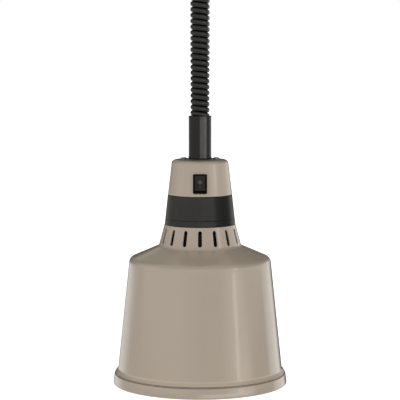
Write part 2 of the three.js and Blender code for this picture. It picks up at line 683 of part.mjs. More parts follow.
function canopy() {
  const shell = revolve([
    [CANOPY.radius, CANOPY.top], ...canopySurface(0), [CANOPY.outlet, -CANOPY.depth],
    [CANOPY.outlet, -CANOPY.depth + SHEET], ...canopySurface(SHEET).reverse(),
    [CANOPY.radius - SHEET, CANOPY.top],
  ]);
  return cut(shell, rodAlongX(CANOPY_SCREW.hole, THROUGH).translate(0, 0, CANOPY_SCREW.z));
}

function canopyScrew(side) {
  const seat = CANOPY.radius + 2 * CONTACT;
  const head = buttonHead(CANOPY_SCREW.head, CANOPY_SCREW.headHeight)
    .rotateY(Math.PI / 2)
    .translate(seat, 0, 0);
  const shank = rodAlongX(CANOPY_SCREW.shank, CANOPY_SCREW.length)
    .translate(seat + GAP - CANOPY_SCREW.length / 2, 0, 0);
  return join(head, shank).translate(0, 0, CANOPY_SCREW.z).rotateZ(side > 0 ? 0 : Math.PI);
}

// Parts of the reel are built about Z and laid over onto its axle, which runs along Y.
function ontoAxle(geometry) {
  return geometry.rotateX(-Math.PI / 2).translate(-DRUM.ropeRadius, 0, DRUM.axisZ);
}

function reelFrame() {
  const { inner, thickness, width, drop } = CHEEK;
  const top = -BRACKET.thickness - CHEEK.gap;
  const web = box([width, 2 * (inner + thickness), thickness], [-DRUM.ropeRadius, 0, top - thickness / 2]);
  const cheeks = sides.map((side) => box(
    [width, thickness, drop], [-DRUM.ropeRadius, side * (inner + thickness / 2), top - drop / 2]));
  return cut(join(web, ...cheeks), ontoAxle(disc(AXLE.radius + CONTACT, -THROUGH, THROUGH)));
}

// The axle doesn't turn; its thicker middle is the arbor that holds the spring's inner end.
function reelAxle() {
  const end = CHEEK.inner + AXLE.overhang;
  const arborFoot = DRUM.floor + GAP - DRUM.halfWidth;
  const arborTop = DRUM.halfWidth - CONTACT;
  return ontoAxle(revolve([
    [0, -end], [AXLE.radius, -end], [AXLE.radius, arborFoot], [AXLE.arbor, arborFoot],
    [AXLE.arbor, arborTop], [AXLE.radius, arborTop], [AXLE.radius, end], [0, end],
  ], SMALL_ROUND));
}

function axleClip(side) {
  const near = CHEEK.inner + CHEEK.thickness + CLIP.gap;
  const clip = ring(CLIP.radius, AXLE.radius + CONTACT, near, near + CLIP.thickness);
  return ontoAxle(side > 0 ? clip : clip.rotateX(Math.PI));
}

function ropeDrum() {
  const { flangeRadius, flange, floor, core, halfWidth } = DRUM;
  const well = SPRING.outer + 2 * GAP;
  return ontoAxle(revolve([
    [AXLE.bore, -halfWidth], [flangeRadius, -halfWidth], [flangeRadius, flange - halfWidth],
    [core, flange - halfWidth], [core, halfWidth - flange], [flangeRadius, halfWidth - flange],
    [flangeRadius, halfWidth], [well, halfWidth], [well, floor - halfWidth], [AXLE.bore, floor - halfWidth],
  ], MEDIUM_ROUND));
}

function drumCover() {
  const foot = DRUM.halfWidth + DRUM_COVER.gap;
  return ontoAxle(ring(DRUM_COVER.radius, AXLE.bore, foot, foot + DRUM_COVER.thickness, MEDIUM_ROUND));
}

function mainSpring() {
  const stepsPerTurn = 12;
  const steps = SPRING.turns * stepsPerTurn;
  const growth = (SPRING.outer - SPRING.inner - SPRING.thickness) / steps;
  const spiral = (offset) => Array.from({ length: steps + 1 }, (_, i) => {
    const a = (2 * Math.PI * i) / stepsPerTurn;
    const r = SPRING.inner + growth * i + offset;
    return new THREE.Vector2(r * Math.cos(a), r * Math.sin(a));
  });
  const outline = new THREE.Shape([...spiral(0), ...spiral(SPRING.thickness).reverse()]);
  return ontoAxle(new THREE.ExtrudeGeometry(outline, { depth: SPRING.width, bevelEnabled: false })
    .translate(0, 0, SPRING.foot - DRUM.halfWidth));
}

// The rope on the drum ends where it leaves the drum, over the lamp's axis.
class WoundRopeCurve extends THREE.Curve {
  getPoint(t, target = new THREE.Vector3()) {
    const turn = ROPE_WINDING.turns * (t - 1);
    const angle = 2 * Math.PI * turn;
    return target.set(
      DRUM.ropeRadius * (Math.cos(angle) - 1), turn * ROPE_WINDING.pitch,
      DRUM.axisZ - DRUM.ropeRadius * Math.sin(angle));
  }
}

function woundRope() {
  const stepsPerTurn = 16;
  return tube(new WoundRopeCurve(), ROPE_RADIUS, Math.round(stepsPerTurn * ROPE_WINDING.turns), 4);
}

// The ball turns in the canopy's outlet; its bore widens towards both ends.
function ballBushing() {
  const edge = Math.asin(BALL.halfHeight / BALL.radius);
  const mouth = BALL.throat + BALL.flare * BALL.halfHeight;
  return revolve([
    ...arc([0, 0], [BALL.radius, BALL.radius], -edge, edge, 6),
    [mouth, BALL.halfHeight], [BALL.throat, 0], [mouth, -BALL.halfHeight],
  ], MEDIUM_ROUND).translate(0, 0, BALL.z);
}

function terminalBlock() {
  const block = box(
    [TERMINAL.width, TERMINAL.length, TERMINAL.top - TERMINAL.foot],
    [TERMINAL.x, 0, (TERMINAL.top + TERMINAL.foot) / 2]);
  const wells = [-1, 0, 1].map((i) => rodAlongX(TERMINAL.wellRadius, 2 * TERMINAL.width)
    .translate(TERMINAL.x, i * TERMINAL.wellStep, TERMINAL.wellZ));
  return cut(block, ...wells);
}

function cordClamp() {
  return cut(
    box([CLAMP.width, CLAMP.length, CLAMP.height], [TERMINAL.x, 0, CLAMP.middle]),
    disc(CABLE_RADIUS + GAP, CLAMP.middle - CLAMP.height, CLAMP.middle + CLAMP.height, SCREW_ROUND)
      .translate(TERMINAL.x, 0, 0));
}

// From the top of the coil round to the clamp under the terminal block.
function supplyTail() {
  return tubeThrough([
    [COIL.radius, -2 * GAP, COIL_TOP_Z + CONTACT], [COIL.radius - 0.4, -3.4, COIL_TOP_Z + 0.8],
    [COIL.radius, -5, COIL_TOP_Z + 4.6], [COIL.radius + 2.6, -4.4, COIL_TOP_Z + 10], [18, -2.4, -35],
    [26, -0.6, -28], [TERMINAL.x, 0, -22], [TERMINAL.x, 0, TERMINAL.foot - GAP],
  ], CABLE_RADIUS, 20);
}

// ---------------------------------------------------------------- assembly

// Adds each [name, geometry, material] piece to the group as its own mesh.
function addPieces(group, pieces) {
  for (const [name, geometry, finish] of pieces) {
    const mesh = new THREE.Mesh(geometry, finish);
    mesh.name = name;
    group.add(mesh);
  }
  return group;
}

const ceilingUnit = addPieces(new THREE.Group(), [
  ['ceiling_bracket', ceilingBracket(), steel],
  ['canopy', canopy(), champagnePaint],
  ['canopy_screw_left', canopyScrew(-1), steel],
  ['canopy_screw_right', canopyScrew(1), steel],
  ['reel_frame', reelFrame(), steel],
  ['reel_axle', reelAxle(), steel],
  ['axle_clip_front', axleClip(-1), steel],
  ['axle_clip_rear', axleClip(1), steel],
  ['rope_drum', ropeDrum(), whitePlastic],
  ['drum_cover', drumCover(), whitePlastic],
  ['main_spring', mainSpring(), steel],
  ['wound_rope', woundRope(), steel],
  ['ball_bushing', ballBushing(), blackPlastic],
  ['terminal_block', terminalBlock(), whitePlastic],
  ['cord_clamp', cordClamp(), blackPlastic],
  ['supply_tail', supplyTail(), cordRubber],
  ['coil_cord', coilCord(), cordRubber],
  ['hanging_rope', hangingRope(), steel],
]);

const lampHead = addPieces(new THREE.Group(), [
  ['shade', shade(), champagnePaint],
  ['grip_collar', gripCollar(), darkPlastic],
  ['upper_housing', upperHousing(), champagnePaint],
  ['inner_frame', innerFrame(), steel],
  ['top_screw_left', topScrew(-1), steel],
  ['top_screw_right', topScrew(1), steel],
  ...tieAngles.map((angle, i) => [`tie_screw_${i + 1}`, tieScrew(angle), steel]),
  ['sleeve_washer', sleeveWasher(), blackPlastic],
  ['cord_sleeve', cordSleeve(), darkPaint],
  ['sleeve_nut', sleeveNut(), steel],
  ['cord_tail', cordTail(), cordRubber],
  ['anchor_plate', anchorPlate(), steel],
  ['rope_ferrule', ropeFerrule(), steel],
  ['cord_grip', cordGrip(), blackPlastic],
  ['switch_body', switchBody(), blackPlastic],
  ['switch_rocker', switchRocker(), blackPlastic],
  ['switch_terminal_upper', switchTerminal(BLADE.offset), brass],
  ['switch_terminal_lower', switchTerminal(-BLADE.offset), brass],
  ['lamp_holder', lampHolder(), darkGlaze],
  ['heat_baffle', heatBaffle(), darkPaint],
  ['holder_shell', holderShell(), brass],
  ['holder_contact', holderContact(), brass],
  ['holder_nipple', holderNipple(), brass],
  ['holder_nut', holderNut(), brass],
  ['earth_screw', earthScrew(), brass],
  ['live_wire', liveWire(), brownInsulation],
  ['switched_live_wire', switchedLiveWire(), brownInsulation],
  ['neutral_wire', neutralWire(), blueInsulation],
  ['earth_wire', earthWire(), greenInsulation],
  ['bulb_envelope', bulbEnvelope(), bulbGlass],
  ['bulb_cap', bulbCap(), brass],
  ['bulb_insulator', bulbInsulator(), blackPlastic],
  ['bulb_contact', bulbContact(), steel],
  ['bulb_stem', revolve(STEM_PROFILE, SMALL_ROUND), bulbGlass],
  ['filament', filament(), tungsten],
]);
lampHead.position.z = HEAD_Z;

const heatLamp = new THREE.Group();
heatLamp.add(ceilingUnit, lampHead);

export default heatLamp;
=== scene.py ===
import math

import bmesh
import bpy
import numpy as np
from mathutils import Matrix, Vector


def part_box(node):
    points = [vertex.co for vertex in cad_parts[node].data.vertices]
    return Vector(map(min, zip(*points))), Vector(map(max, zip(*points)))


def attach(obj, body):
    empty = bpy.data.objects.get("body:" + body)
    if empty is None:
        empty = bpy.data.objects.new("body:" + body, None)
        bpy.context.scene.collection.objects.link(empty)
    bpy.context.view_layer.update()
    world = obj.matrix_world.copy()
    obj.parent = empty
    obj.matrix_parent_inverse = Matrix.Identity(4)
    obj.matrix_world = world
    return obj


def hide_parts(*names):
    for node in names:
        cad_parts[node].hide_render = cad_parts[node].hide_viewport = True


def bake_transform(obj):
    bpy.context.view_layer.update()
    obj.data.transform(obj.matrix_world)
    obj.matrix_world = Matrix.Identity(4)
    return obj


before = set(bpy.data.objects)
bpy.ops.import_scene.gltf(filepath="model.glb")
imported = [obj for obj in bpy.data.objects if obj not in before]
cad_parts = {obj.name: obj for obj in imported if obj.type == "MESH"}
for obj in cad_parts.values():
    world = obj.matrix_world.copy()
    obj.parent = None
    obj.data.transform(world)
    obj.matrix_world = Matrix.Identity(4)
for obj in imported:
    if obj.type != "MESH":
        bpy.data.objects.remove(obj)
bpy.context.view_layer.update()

# Shapes are worked out in millimetres in the CAD's frame, and become metres when a mesh is made. The heights
# of the lamp head's parts are measured up from the shade's lower edge, which lies at HEAD.
MM = 0.001
TAU = 2 * math.pi


def node_box(name):
    """Lowest and highest corner of a CAD node, in millimetres."""
    low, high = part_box(name)
    return low / MM, high / MM


HEAD = node_box("shade")[0].z
SHEET = 1.2

# ---- materials


def add_node(tree, kind, inputs=None, **settings):
    """A shader node, with its settings and its inputs given as values or as other nodes' sockets."""
    made = tree.nodes.new(kind)
    for key, value in settings.items():
        setattr(made, key, value)
    for key, value in (inputs or {}).items():
        if isinstance(value, bpy.types.NodeSocket):
            tree.links.new(value, made.inputs[key])
        else:
            made.inputs[key].default_value = value
    return made


def noise(tree, place, scale, detail=3.0, roughness=0.5, stretch=None):
    """A noise pattern's value, with scale in features per metre and stretch along each axis."""
    if stretch:
        place = add_node(tree, "ShaderNodeMapping", {"Vector": place, "Scale": stretch}).outputs[0]
    inputs = {"Vector": place, "Scale": scale, "Detail": detail, "Roughness": roughness}
    return add_node(tree, "ShaderNodeTexNoise", inputs).outputs[0]


def remap(tree, value, from_low, from_high, to_low, to_high):
    inputs = {0: value, 1: from_low, 2: from_high, 3: to_low, 4: to_high}
    return add_node(tree, "ShaderNodeMapRange", inputs).outputs[0]


def multiply(tree, a, b):
    return add_node(tree, "ShaderNodeMath", {0: a, 1: b}, operation="MULTIPLY").outputs[0]


def blend_colours(tree, share, a, b):
    return add_node(tree, "ShaderNodeMix", {0: share, 6: a, 7: b}, data_type="RGBA").outputs[2]


RAMP_LIMIT = 8.0  # colour ramps hold values up to 1, so brightness is divided by this in them


def brightness_ramp(tree, value, low, high, stops):
    """Brightness at (value, brightness) stops, whose values rise from low to high."""
    ramp = add_node(tree, "ShaderNodeValToRGB", {0: remap(tree, value, low, high, 0.0, 1.0)})
    elements = ramp.color_ramp.elements
    for element, (_, level) in zip(list(elements), (stops[0], stops[-1])):
        element.color = [level / RAMP_LIMIT] * 3 + [1]
    for at, level in stops[1:-1]:
        elements.new((at - low) / (high - low)).color = [level / RAMP_LIMIT] * 3 + [1]
    return multiply(tree, ramp.outputs[0], RAMP_LIMIT)


def azimuth_of(tree, direction):
    """A direction's azimuth, in degrees to the right of the camera's side."""
    x, y, _ = add_node(tree, "ShaderNodeSeparateXYZ", {0: direction}).outputs
    inputs = {0: x, 1: multiply(tree, y, -1.0)}
    turn = add_node(tree, "ShaderNodeMath", inputs, operation="ARCTAN2").outputs[0]
    return multiply(tree, turn, 180 / math.pi)


def linear(colour):
    """A colour given as sRGB values out of 255, as the linear values that shaders use."""
    def channel(c):
        c /= 255
        return c / 12.92 if c <= 0.04045 else ((c + 0.055) / 1.055) ** 2.4
    return (*[channel(c) for c in colour], 1.0)


def scaled(colour, factor):
    return (*[min(1.0, c * factor) for c in colour[:3]], 1.0)


FINISHES = {}


def finish(name, colour, roughness, metallic=0.0, mottle=0.05, mottle_scale=60.0, grain=900.0,
           grain_height=0.01, waves=0.0, wave_scale=120.0, stretch=None, coat=0.0, coat_roughness=0.1,
           wear=None, wear_share=0.5, crease_shade=0.1, transmission=0.0, specular=0.5, painted_light_bands=(), painted_reflection=None,
           edge_shade=0.0):
    """A procedural surface: mottled colour, worn edges, painted shade in the creases, grain and waviness in
    its bump.

    Painted light bands are (low, high, factor) stretches of height whose colour is lightened, a painted
    highlight, or darkened, painted shade. A painted reflection weakens or strengthens what the surface
    mirrors, by stops of azimuth to the right of the camera's side. Edge shade darkens the colour where the
    surface turns away from the eye.
    """
    material = bpy.data.materials.new(name)
    material.use_nodes = True
    tree = material.node_tree
    shader = tree.nodes["Principled BSDF"]
    place = add_node(tree, "ShaderNodeTexCoord").outputs["Object"]
    base = linear(colour)
    broad = noise(tree, place, mottle_scale, stretch=stretch)
    fine = noise(tree, place, grain, detail=2.0, stretch=stretch)
    shade = blend_colours(tree, broad, scaled(base, 1 - mottle), scaled(base, 1 + mottle))
    speckle = remap(tree, fine, 0.3, 0.7, 0.0, 0.35 * mottle / 0.05 if mottle else 0.0)
    shade = blend_colours(tree, speckle, shade, scaled(base, 1 + 1.6 * mottle))
    point = add_node(tree, "ShaderNodeNewGeometry").outputs["Pointiness"]
    patches = remap(tree, noise(tree, place, 350.0), 0.42, 0.62, 0.0, 1.0)
    worn = multiply(tree, remap(tree, point, 0.53, 0.6, 0.0, wear_share), patches)
    shade = blend_colours(tree, worn, shade, linear(wear) if wear else scaled(base, 1.25))
    # Painted shade: concave creases are darkened towards 0.35 of the base colour.
    crease = remap(tree, point, 0.47, 0.42, 0.0, crease_shade)
    shade = blend_colours(tree, crease, shade, scaled(base, 0.35))
    # Painted highlight and painted shade: the colour in each band of height is multiplied by its factor.
    for low, high, factor in painted_light_bands:
        height = add_node(tree, "ShaderNodeSeparateXYZ", {0: place}).outputs[2]
        soft = 0.4
        rise = remap(tree, height, (low - soft) * MM, (low + soft) * MM, 0.0, 1.0)
        fall = remap(tree, height, (high - soft) * MM, (high + soft) * MM, 1.0, 0.0)
        inputs = {0: multiply(tree, rise, fall), 6: shade, 7: (*[factor] * 3, 1)}
        shade = add_node(tree, "ShaderNodeMix", inputs, data_type="RGBA", blend_type="MULTIPLY").outputs[2]
    if edge_shade:
        facing = add_node(tree, "ShaderNodeLayerWeight", {"Blend": 0.5}).outputs["Facing"]
        turned = remap(tree, facing, 0.76, 0.9, 0.0, edge_shade)
        shade = blend_colours(tree, turned, shade, scaled(base, 0.2))
    tree.links.new(shade, shader.inputs["Base Color"])
    rough = remap(tree, broad, 0.3, 0.7, roughness * 0.9, roughness * 1.1)
    inputs = {0: rough, 1: multiply(tree, worn, 0.1)}
    rough = add_node(tree, "ShaderNodeMath", inputs, operation="ADD").outputs[0]
    tree.links.new(rough, shader.inputs["Roughness"])
    bump = add_node(tree, "ShaderNodeBump", {"Strength": 1.0, "Distance": grain_height * MM, "Height": fine})
    if waves:
        swell = noise(tree, place, wave_scale, detail=1.0)
        bump = add_node(tree, "ShaderNodeBump", {
            "Strength": 1.0, "Distance": waves * MM, "Height": swell, "Normal": bump.outputs[0]})
    tree.links.new(bump.outputs[0], shader.inputs["Normal"])
    shader.inputs["Metallic"].default_value = metallic
    shader.inputs["Specular IOR Level"].default_value = specular
    # Painted reflection: what the surface mirrors is scaled by the azimuth of the mirrored direction.
    if painted_reflection:
        mirrored = add_node(tree, "ShaderNodeTexCoord").outputs["Reflection"]
        share = brightness_ramp(tree, azimuth_of(tree, mirrored), -180, 180, painted_reflection)
        tree.links.new(multiply(tree, share, specular), shader.inputs["Specular IOR Level"])
    shader.inputs["Coat Weight"].default_value = coat
    shader.inputs["Coat Roughness"].default_value = coat_roughness
    shader.inputs["Transmission Weight"].default_value = transmission
    FINISHES[name] = material


# The finishes that carry the name of one of the record's materials are the looks of the CAD nodes with that
# material. The others are for single pieces.
# Its bands are a painted highlight on the rim's ledge and painted shade in the groove below it.
finish("champagne_paint", (171, 158, 142), 0.42, metallic=0.1, mottle=0.03, mottle_scale=25, grain=2600,
       grain_height=0.003, waves=0.008, wave_scale=260, coat=0.9, coat_roughness=0.09, wear=(196, 188, 176),
       wear_share=0.35, crease_shade=0.5, painted_light_bands=[(HEAD + 12.9, HEAD + 17.4, 1.22), (HEAD + 11.0, HEAD + 12.8, 0.72)],
       edge_shade=0.6)
# Its painted reflection dims what the collar mirrors from the right, between about 40 and 150 degrees.
finish("dark_plastic", (23, 23, 23), 0.42, mottle=0.08, mottle_scale=90, grain=1700, grain_height=0.02,
       wear=(70, 69, 68), crease_shade=0.4, specular=0.55,
       painted_reflection=[(-180, 1), (20, 1), (40, 0.85), (60, 0.3), (110, 0.15), (150, 0.5), (180, 1)])
finish("black_plastic", (14, 11, 7), 0.4, mottle=0.08, grain=2200, grain_height=0.006, wear=(40, 36, 30),
       specular=0.12)
finish("rocker_plastic", (36, 33, 25), 0.42, mottle=0.1, grain=2200, grain_height=0.01, wear=(70, 66, 54),
       specular=0.25)
finish("switch_marks", (104, 108, 104), 0.6, mottle=0.05, grain_height=0.004)
# Its painted reflection brightens what the sleeve mirrors from just right of the camera's side, about 2 to 68
# degrees.
finish("dark_paint", (20, 20, 20), 0.3, mottle=0.06, mottle_scale=80, grain=1800, grain_height=0.012,
       waves=0.008, wave_scale=300, wear=(80, 79, 77), specular=0.45,
       painted_reflection=[(-180, 1), (-6, 0.9), (2, 2.2), (68, 1.9), (74, 0.9), (110, 1), (180, 1)])
# Painted shade: the baffle is near-black so that the inside of the neck looks dark through the slots.
finish("baffle_painted_shade", (10, 8, 6), 0.6, mottle=0.1, grain=1500, grain_height=0.01, specular=0.2)
finish("cord_rubber", (22, 22, 22), 0.32, mottle=0.12, mottle_scale=140, grain=1500, grain_height=0.02,
       waves=0.02, wave_scale=160, wear=(60, 60, 60), crease_shade=0.3, specular=0.62)
finish("plated_steel", (176, 177, 178), 0.42, metallic=0.7, mottle=0.08, mottle_scale=120, grain=900,
       grain_height=0.01, stretch=(1, 1, 0.2), wear=(206, 206, 204), crease_shade=0.3)
finish("screw_steel", (120, 112, 102), 0.26, metallic=1.0, mottle=0.1, mottle_scale=300, grain=1500,
       grain_height=0.01, wear=(190, 186, 180), crease_shade=0.5)
finish("rope_steel", (160, 160, 158), 0.34, metallic=1.0, mottle=0.15, mottle_scale=500, grain=3000,
       grain_height=0.02, crease_shade=0.7)
finish("spring_steel", (110, 116, 128), 0.25, metallic=1.0, mottle=0.12, mottle_scale=80, grain=1200,
       grain_height=0.008, stretch=(1, 0.1, 1), crease_shade=0.3)
finish("white_plastic", (222, 219, 210), 0.42, mottle=0.02, grain=1600, grain_height=0.015,
       wear=(236, 234, 228))
finish("brass", (196, 160, 92), 0.28, metallic=1.0, mottle=0.1, mottle_scale=150, grain=1200,
       grain_height=0.01, wear=(224, 196, 132), crease_shade=0.4)
finish("cap_metal", (186, 186, 182), 0.3, metallic=1.0, mottle=0.08, mottle_scale=160, grain=1600,
       grain_height=0.01, wear=(214, 213, 208), crease_shade=0.5)
# Painted shade: the holder is near-black so that the inside of the neck looks dark through the slots.
finish("dark_glaze", (30, 25, 20), 0.35, mottle=0.03, mottle_scale=120, grain=1400, grain_height=0.006,
       waves=0.02, wave_scale=220, specular=0.3)
finish("bulb_glass", (246, 244, 240), 0.03, mottle=0.01, grain=800, grain_height=0.004, waves=0.02,
       wave_scale=90, transmission=0.9, crease_shade=0.0)
finish("bulb_mirror", (205, 204, 200), 0.12, metallic=1.0, mottle=0.03, mottle_scale=60, grain=700,
       grain_height=0.003, waves=0.02, wave_scale=90, crease_shade=0.0)
finish("tungsten", (104, 102, 100), 0.4, metallic=1.0, mottle=0.1, grain=3000, grain_height=0.01)
finish("brown_insulation", (112, 70, 42), 0.42, mottle=0.06, grain_height=0.01)
finish("blue_insulation", (48, 92, 160), 0.42, mottle=0.06, grain_height=0.01)
finish("green_insulation", (98, 150, 62), 0.42, mottle=0.06, grain_height=0.01)

# ---- mesh helpers


SHARP = 38  # degrees between two faces from which their edge is shaded as an edge


def new_object(name, vertices, edges, faces):
    """An object in the scene, with a mesh of vertices in millimetres."""
    mesh = bpy.data.meshes.new(name)
    mesh.from_pydata([tuple(c * MM for c in v) for v in vertices], edges, faces)
    made = bpy.data.objects.new(name, mesh)
    bpy.context.scene.collection.objects.link(made)
    return made


def make_piece(name, body, slot, vertices, faces, stands_for=None, finishes=None, face_finish=None,
               sharp=SHARP):
    """A piece of the object from vertices in millimetres, riding on a CAD body in place of a CAD node."""
    piece = new_object(name, vertices, [], faces)
    mesh = piece.data
    tidy = bmesh.new()
    tidy.from_mesh(mesh)
    bmesh.ops.remove_doubles(tidy, verts=tidy.verts, dist=1e-7)
    bmesh.ops.recalc_face_normals(tidy, faces=tidy.faces)
    tidy.to_mesh(mesh)
    tidy.free()
    for finish_name in finishes or [slot]:
        mesh.materials.append(FINISHES[finish_name])
    if face_finish:
        for polygon in mesh.polygons:
            polygon.material_index = face_finish(polygon.center / MM)
    mesh.shade_smooth()
    mesh.set_sharp_from_angle(angle=math.radians(sharp))
    if body:
        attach(piece, body)
    if stands_for:
        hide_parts(stands_for)
    return piece


def rounded_path(corners, closed=True, steps=6, support=0.6):
    """Points through [x, y, radius] corners, each rounded by an arc with a supporting point either side."""
    count = len(corners)
    points = []
    for i, (x, y, radius) in enumerate(corners):
        here = np.array([x, y], float)
        if radius == 0 or (not closed and i in (0, count - 1)):
            points.append(here)
            continue
        before, after = [np.array(corners[j % count][:2], float) - here for j in (i - 1, i + 1)]
        reach = [np.linalg.norm(before), np.linalg.norm(after)]
        before, after = before / reach[0], after / reach[1]
        half = math.acos(np.clip(before @ after, -1, 1)) / 2
        if half > math.radians(89.5):
            points.append(here)
            continue
        tangent = radius / math.tan(half)
        centre = here + (before + after) / np.linalg.norm(before + after) * radius / math.sin(half)
        start, end = here + before * tangent - centre, here + after * tangent - centre
        sweep = math.atan2(start[0] * end[1] - start[1] * end[0], start @ end)
        extra = [min(support * radius, 0.3 * max(r - tangent, 0)) for r in reach]
        points.append(centre + start + before * extra[0])
        for k in range(steps + 1):
            c, s = math.cos(sweep * k / steps), math.sin(sweep * k / steps)
            points.append(centre + np.array([start[0] * c - start[1] * s, start[0] * s + start[1] * c]))
        points.append(centre + end + after * extra[1])
    return [tuple(p) for p in points]


def lathe(points, segments=96, closed=True, foot=0.0):
    """Vertices and faces of a profile of (radius, height) turned about Z, with heights above the foot."""
    vertices, rows = [], []
    for radius, height in points:
        start = len(vertices)
        if radius < 1e-6:
            rows.append([start] * segments)
            vertices.append((0.0, 0.0, height + foot))
            continue
        rows.append(list(range(start, start + segments)))
        for i in range(segments):
            a = TAU * i / segments
            vertices.append((radius * math.cos(a), radius * math.sin(a), height + foot))
    faces = []
    following = rows[1:] + rows[:1] if closed else rows[1:]
    for low, high in zip(rows, following):
        for i in range(segments):
            j = (i + 1) % segments
            corners = [low[i], low[j], high[j], high[i]]
            face = [c for k, c in enumerate(corners) if c != corners[k - 1]]
            if len(face) > 2:
                faces.append(face)
    return vertices, faces


def loft(loops, closed=False):
    """Vertices and faces through loops of equal length, capped at both ends unless closed."""
    count = len(loops[0])
    vertices = [p for loop in loops for p in loop]
    faces = []
    for k in range(len(loops) if closed else len(loops) - 1):
        a, b = k * count, (k + 1) % len(loops) * count
        for i in range(count):
            j = (i + 1) % count
            faces.append([a + i, a + j, b + j, b + i])
    if not closed:
        faces.append(list(range(count))[::-1])
        faces.append([len(vertices) - count + i for i in range(count)])
    return vertices, faces


def combine(*parts):
    """One list of vertices and of faces from several closed shells."""
    vertices, faces = [], []
    for part_vertices, part_faces in parts:
        faces += [[i + len(vertices) for i in face] for face in part_faces]
        vertices += part_vertices
    return vertices, faces


def place(part, turn, shift):
    """The part's vertices turned by a 3 x 3 matrix and then shifted."""
    vertices = np.array(part[0], float) @ np.array(turn, float).T + np.array(shift, float)
    return [tuple(v) for v in vertices], part[1]


def turn_about(axis, degrees):
    c, s = math.cos(math.radians(degrees)), math.sin(math.radians(degrees))
    return {
        "x": [[1, 0, 0], [0, c, -s], [0, s, c]],
        "y": [[c, 0, s], [0, 1, 0], [-s, 0, c]],
        "z": [[c, -s, 0], [s, c, 0], [0, 0, 1]],
    }[axis]


UPRIGHT = turn_about("z", 0)


def frames_along(path):
    """Two directions square to the path at each of its points, turning as little as possible."""
    path = np.array(path, float)
    tangents = np.gradient(path, axis=0)
    tangents /= np.linalg.norm(tangents, axis=1)[:, None]
    side = np.cross(tangents[0], (0.3, 0.5, 0.8))
    across = []
    for t in tangents:
        side = side - (side @ t) * t
        side = side / np.linalg.norm(side)
        across.append((side, np.cross(t, side)))
    return path, across


def sweep_tube(path, radius, sides=14, lobes=0, lay=0.0, depth=0.0):
    """A round tube along a path, or one with lobes, which turn about it by lay for each millimetre."""
    path, across = frames_along(path)
    travelled = np.concatenate([[0.0], np.cumsum(np.linalg.norm(np.diff(path, axis=0), axis=1))])
    loops = []
    for centre, (u, v), s in zip(path, across, travelled):
        loop = []
        for i in range(sides):
            a = TAU * i / sides
            r = radius
            if lobes:
                r *= 1 - depth * abs(math.sin(lobes * (a - lay * s) / 2)) ** 0.5
            loop.append(tuple(centre + r * (math.cos(a) * u + math.sin(a) * v)))
        loops.append(loop)
    return loft(loops)


def smooth_curve(points, count):
    """Evenly spaced points of a Catmull-Rom curve through the points."""
    p = np.array(points, float)
    p = np.vstack([2 * p[0] - p[1], p, 2 * p[-1] - p[-2]])
    dense = []
    for i in range(1, len(p) - 2):
        for t in np.linspace(0, 1, 24, endpoint=False):
            square = 2 * p[i - 1] - 5 * p[i] + 4 * p[i + 1] - p[i + 2]
            cube = 3 * p[i] - p[i - 1] - 3 * p[i + 1] + p[i + 2]
            dense.append(0.5 * (2 * p[i] + (p[i + 1] - p[i - 1]) * t + square * t ** 2 + cube * t ** 3))
    dense.append(p[-2])
    dense = np.array(dense)
    run = np.concatenate([[0.0], np.cumsum(np.linalg.norm(np.diff(dense, axis=0), axis=1))])
    wanted = np.linspace(0, run[-1], count)
    return np.stack([np.interp(wanted, run, dense[:, k]) for k in range(3)], axis=1)


def rounded_rectangle(half_width, half_height, radius, per_corner=6):
    """Points of a rounded rectangle in two dimensions, anticlockwise from the right side's foot."""
    points = []
    for sx, sy, start in ((1, 1, 0), (-1, 1, 90), (-1, -1, 180), (1, -1, 270)):
        x, y = sx * (half_width - radius), sy * (half_height - radius)
        for k in range(per_corner + 1):
            a = math.radians(start + 90 * k / per_corner)
            points.append((x + radius * math.cos(a), y + radius * math.sin(a)))
    return points


def circle(radius, height, count):
    """Points of a circle round the Z axis."""
    angles = [TAU * i / count for i in range(count)]
    return [(radius * math.cos(a), radius * math.sin(a), height) for a in angles]


def turned_piece(name, body, slot, corners, stands_for, steps=4, segments=96, foot=0.0, on_axis=False,
                 **options):
    """A piece turned from [radius, height, rounding] corners, a closed outline unless it ends on the axis."""
    part = lathe(rounded_path(corners, not on_axis, steps), segments, not on_axis, foot)
    return make_piece(name, body, slot, *part, stands_for, **options)


# ---- shade

ROUND = 192  # segments round the large turned parts
RIM_RADIUS = (node_box("shade")[1].x - node_box("shade")[0].x) / 2
RIM_EDGE = (1.25, 11.0)  # how far in and how high the rim's upper edge sits
RIM_TOP = 16.2
BODY_FOOT = 89.0
SHOULDER = (76.3, 136.2)
NECK_FOOT = (44.5, 150.1)
NECK_TOP = (38.3, 173.1)
FLANGE_BORE = 24.5
SLOTS = 16
SLOT_HALF_WIDTH = 2.0
SLOT_HALF_LENGTH = 8.4
SLOT_MIDDLE = 161.3
SLOT_BURR = 0.5  # how far each punched slot's edge is turned into the shade
VENTED = (152.3, 171.6)  # heights between which the neck carries its slots


def neck_radius(height, inset):
    share = (height - NECK_FOOT[1]) / (NECK_TOP[1] - NECK_FOOT[1])
    return NECK_FOOT[0] + share * (NECK_TOP[0] - NECK_FOOT[0]) - inset


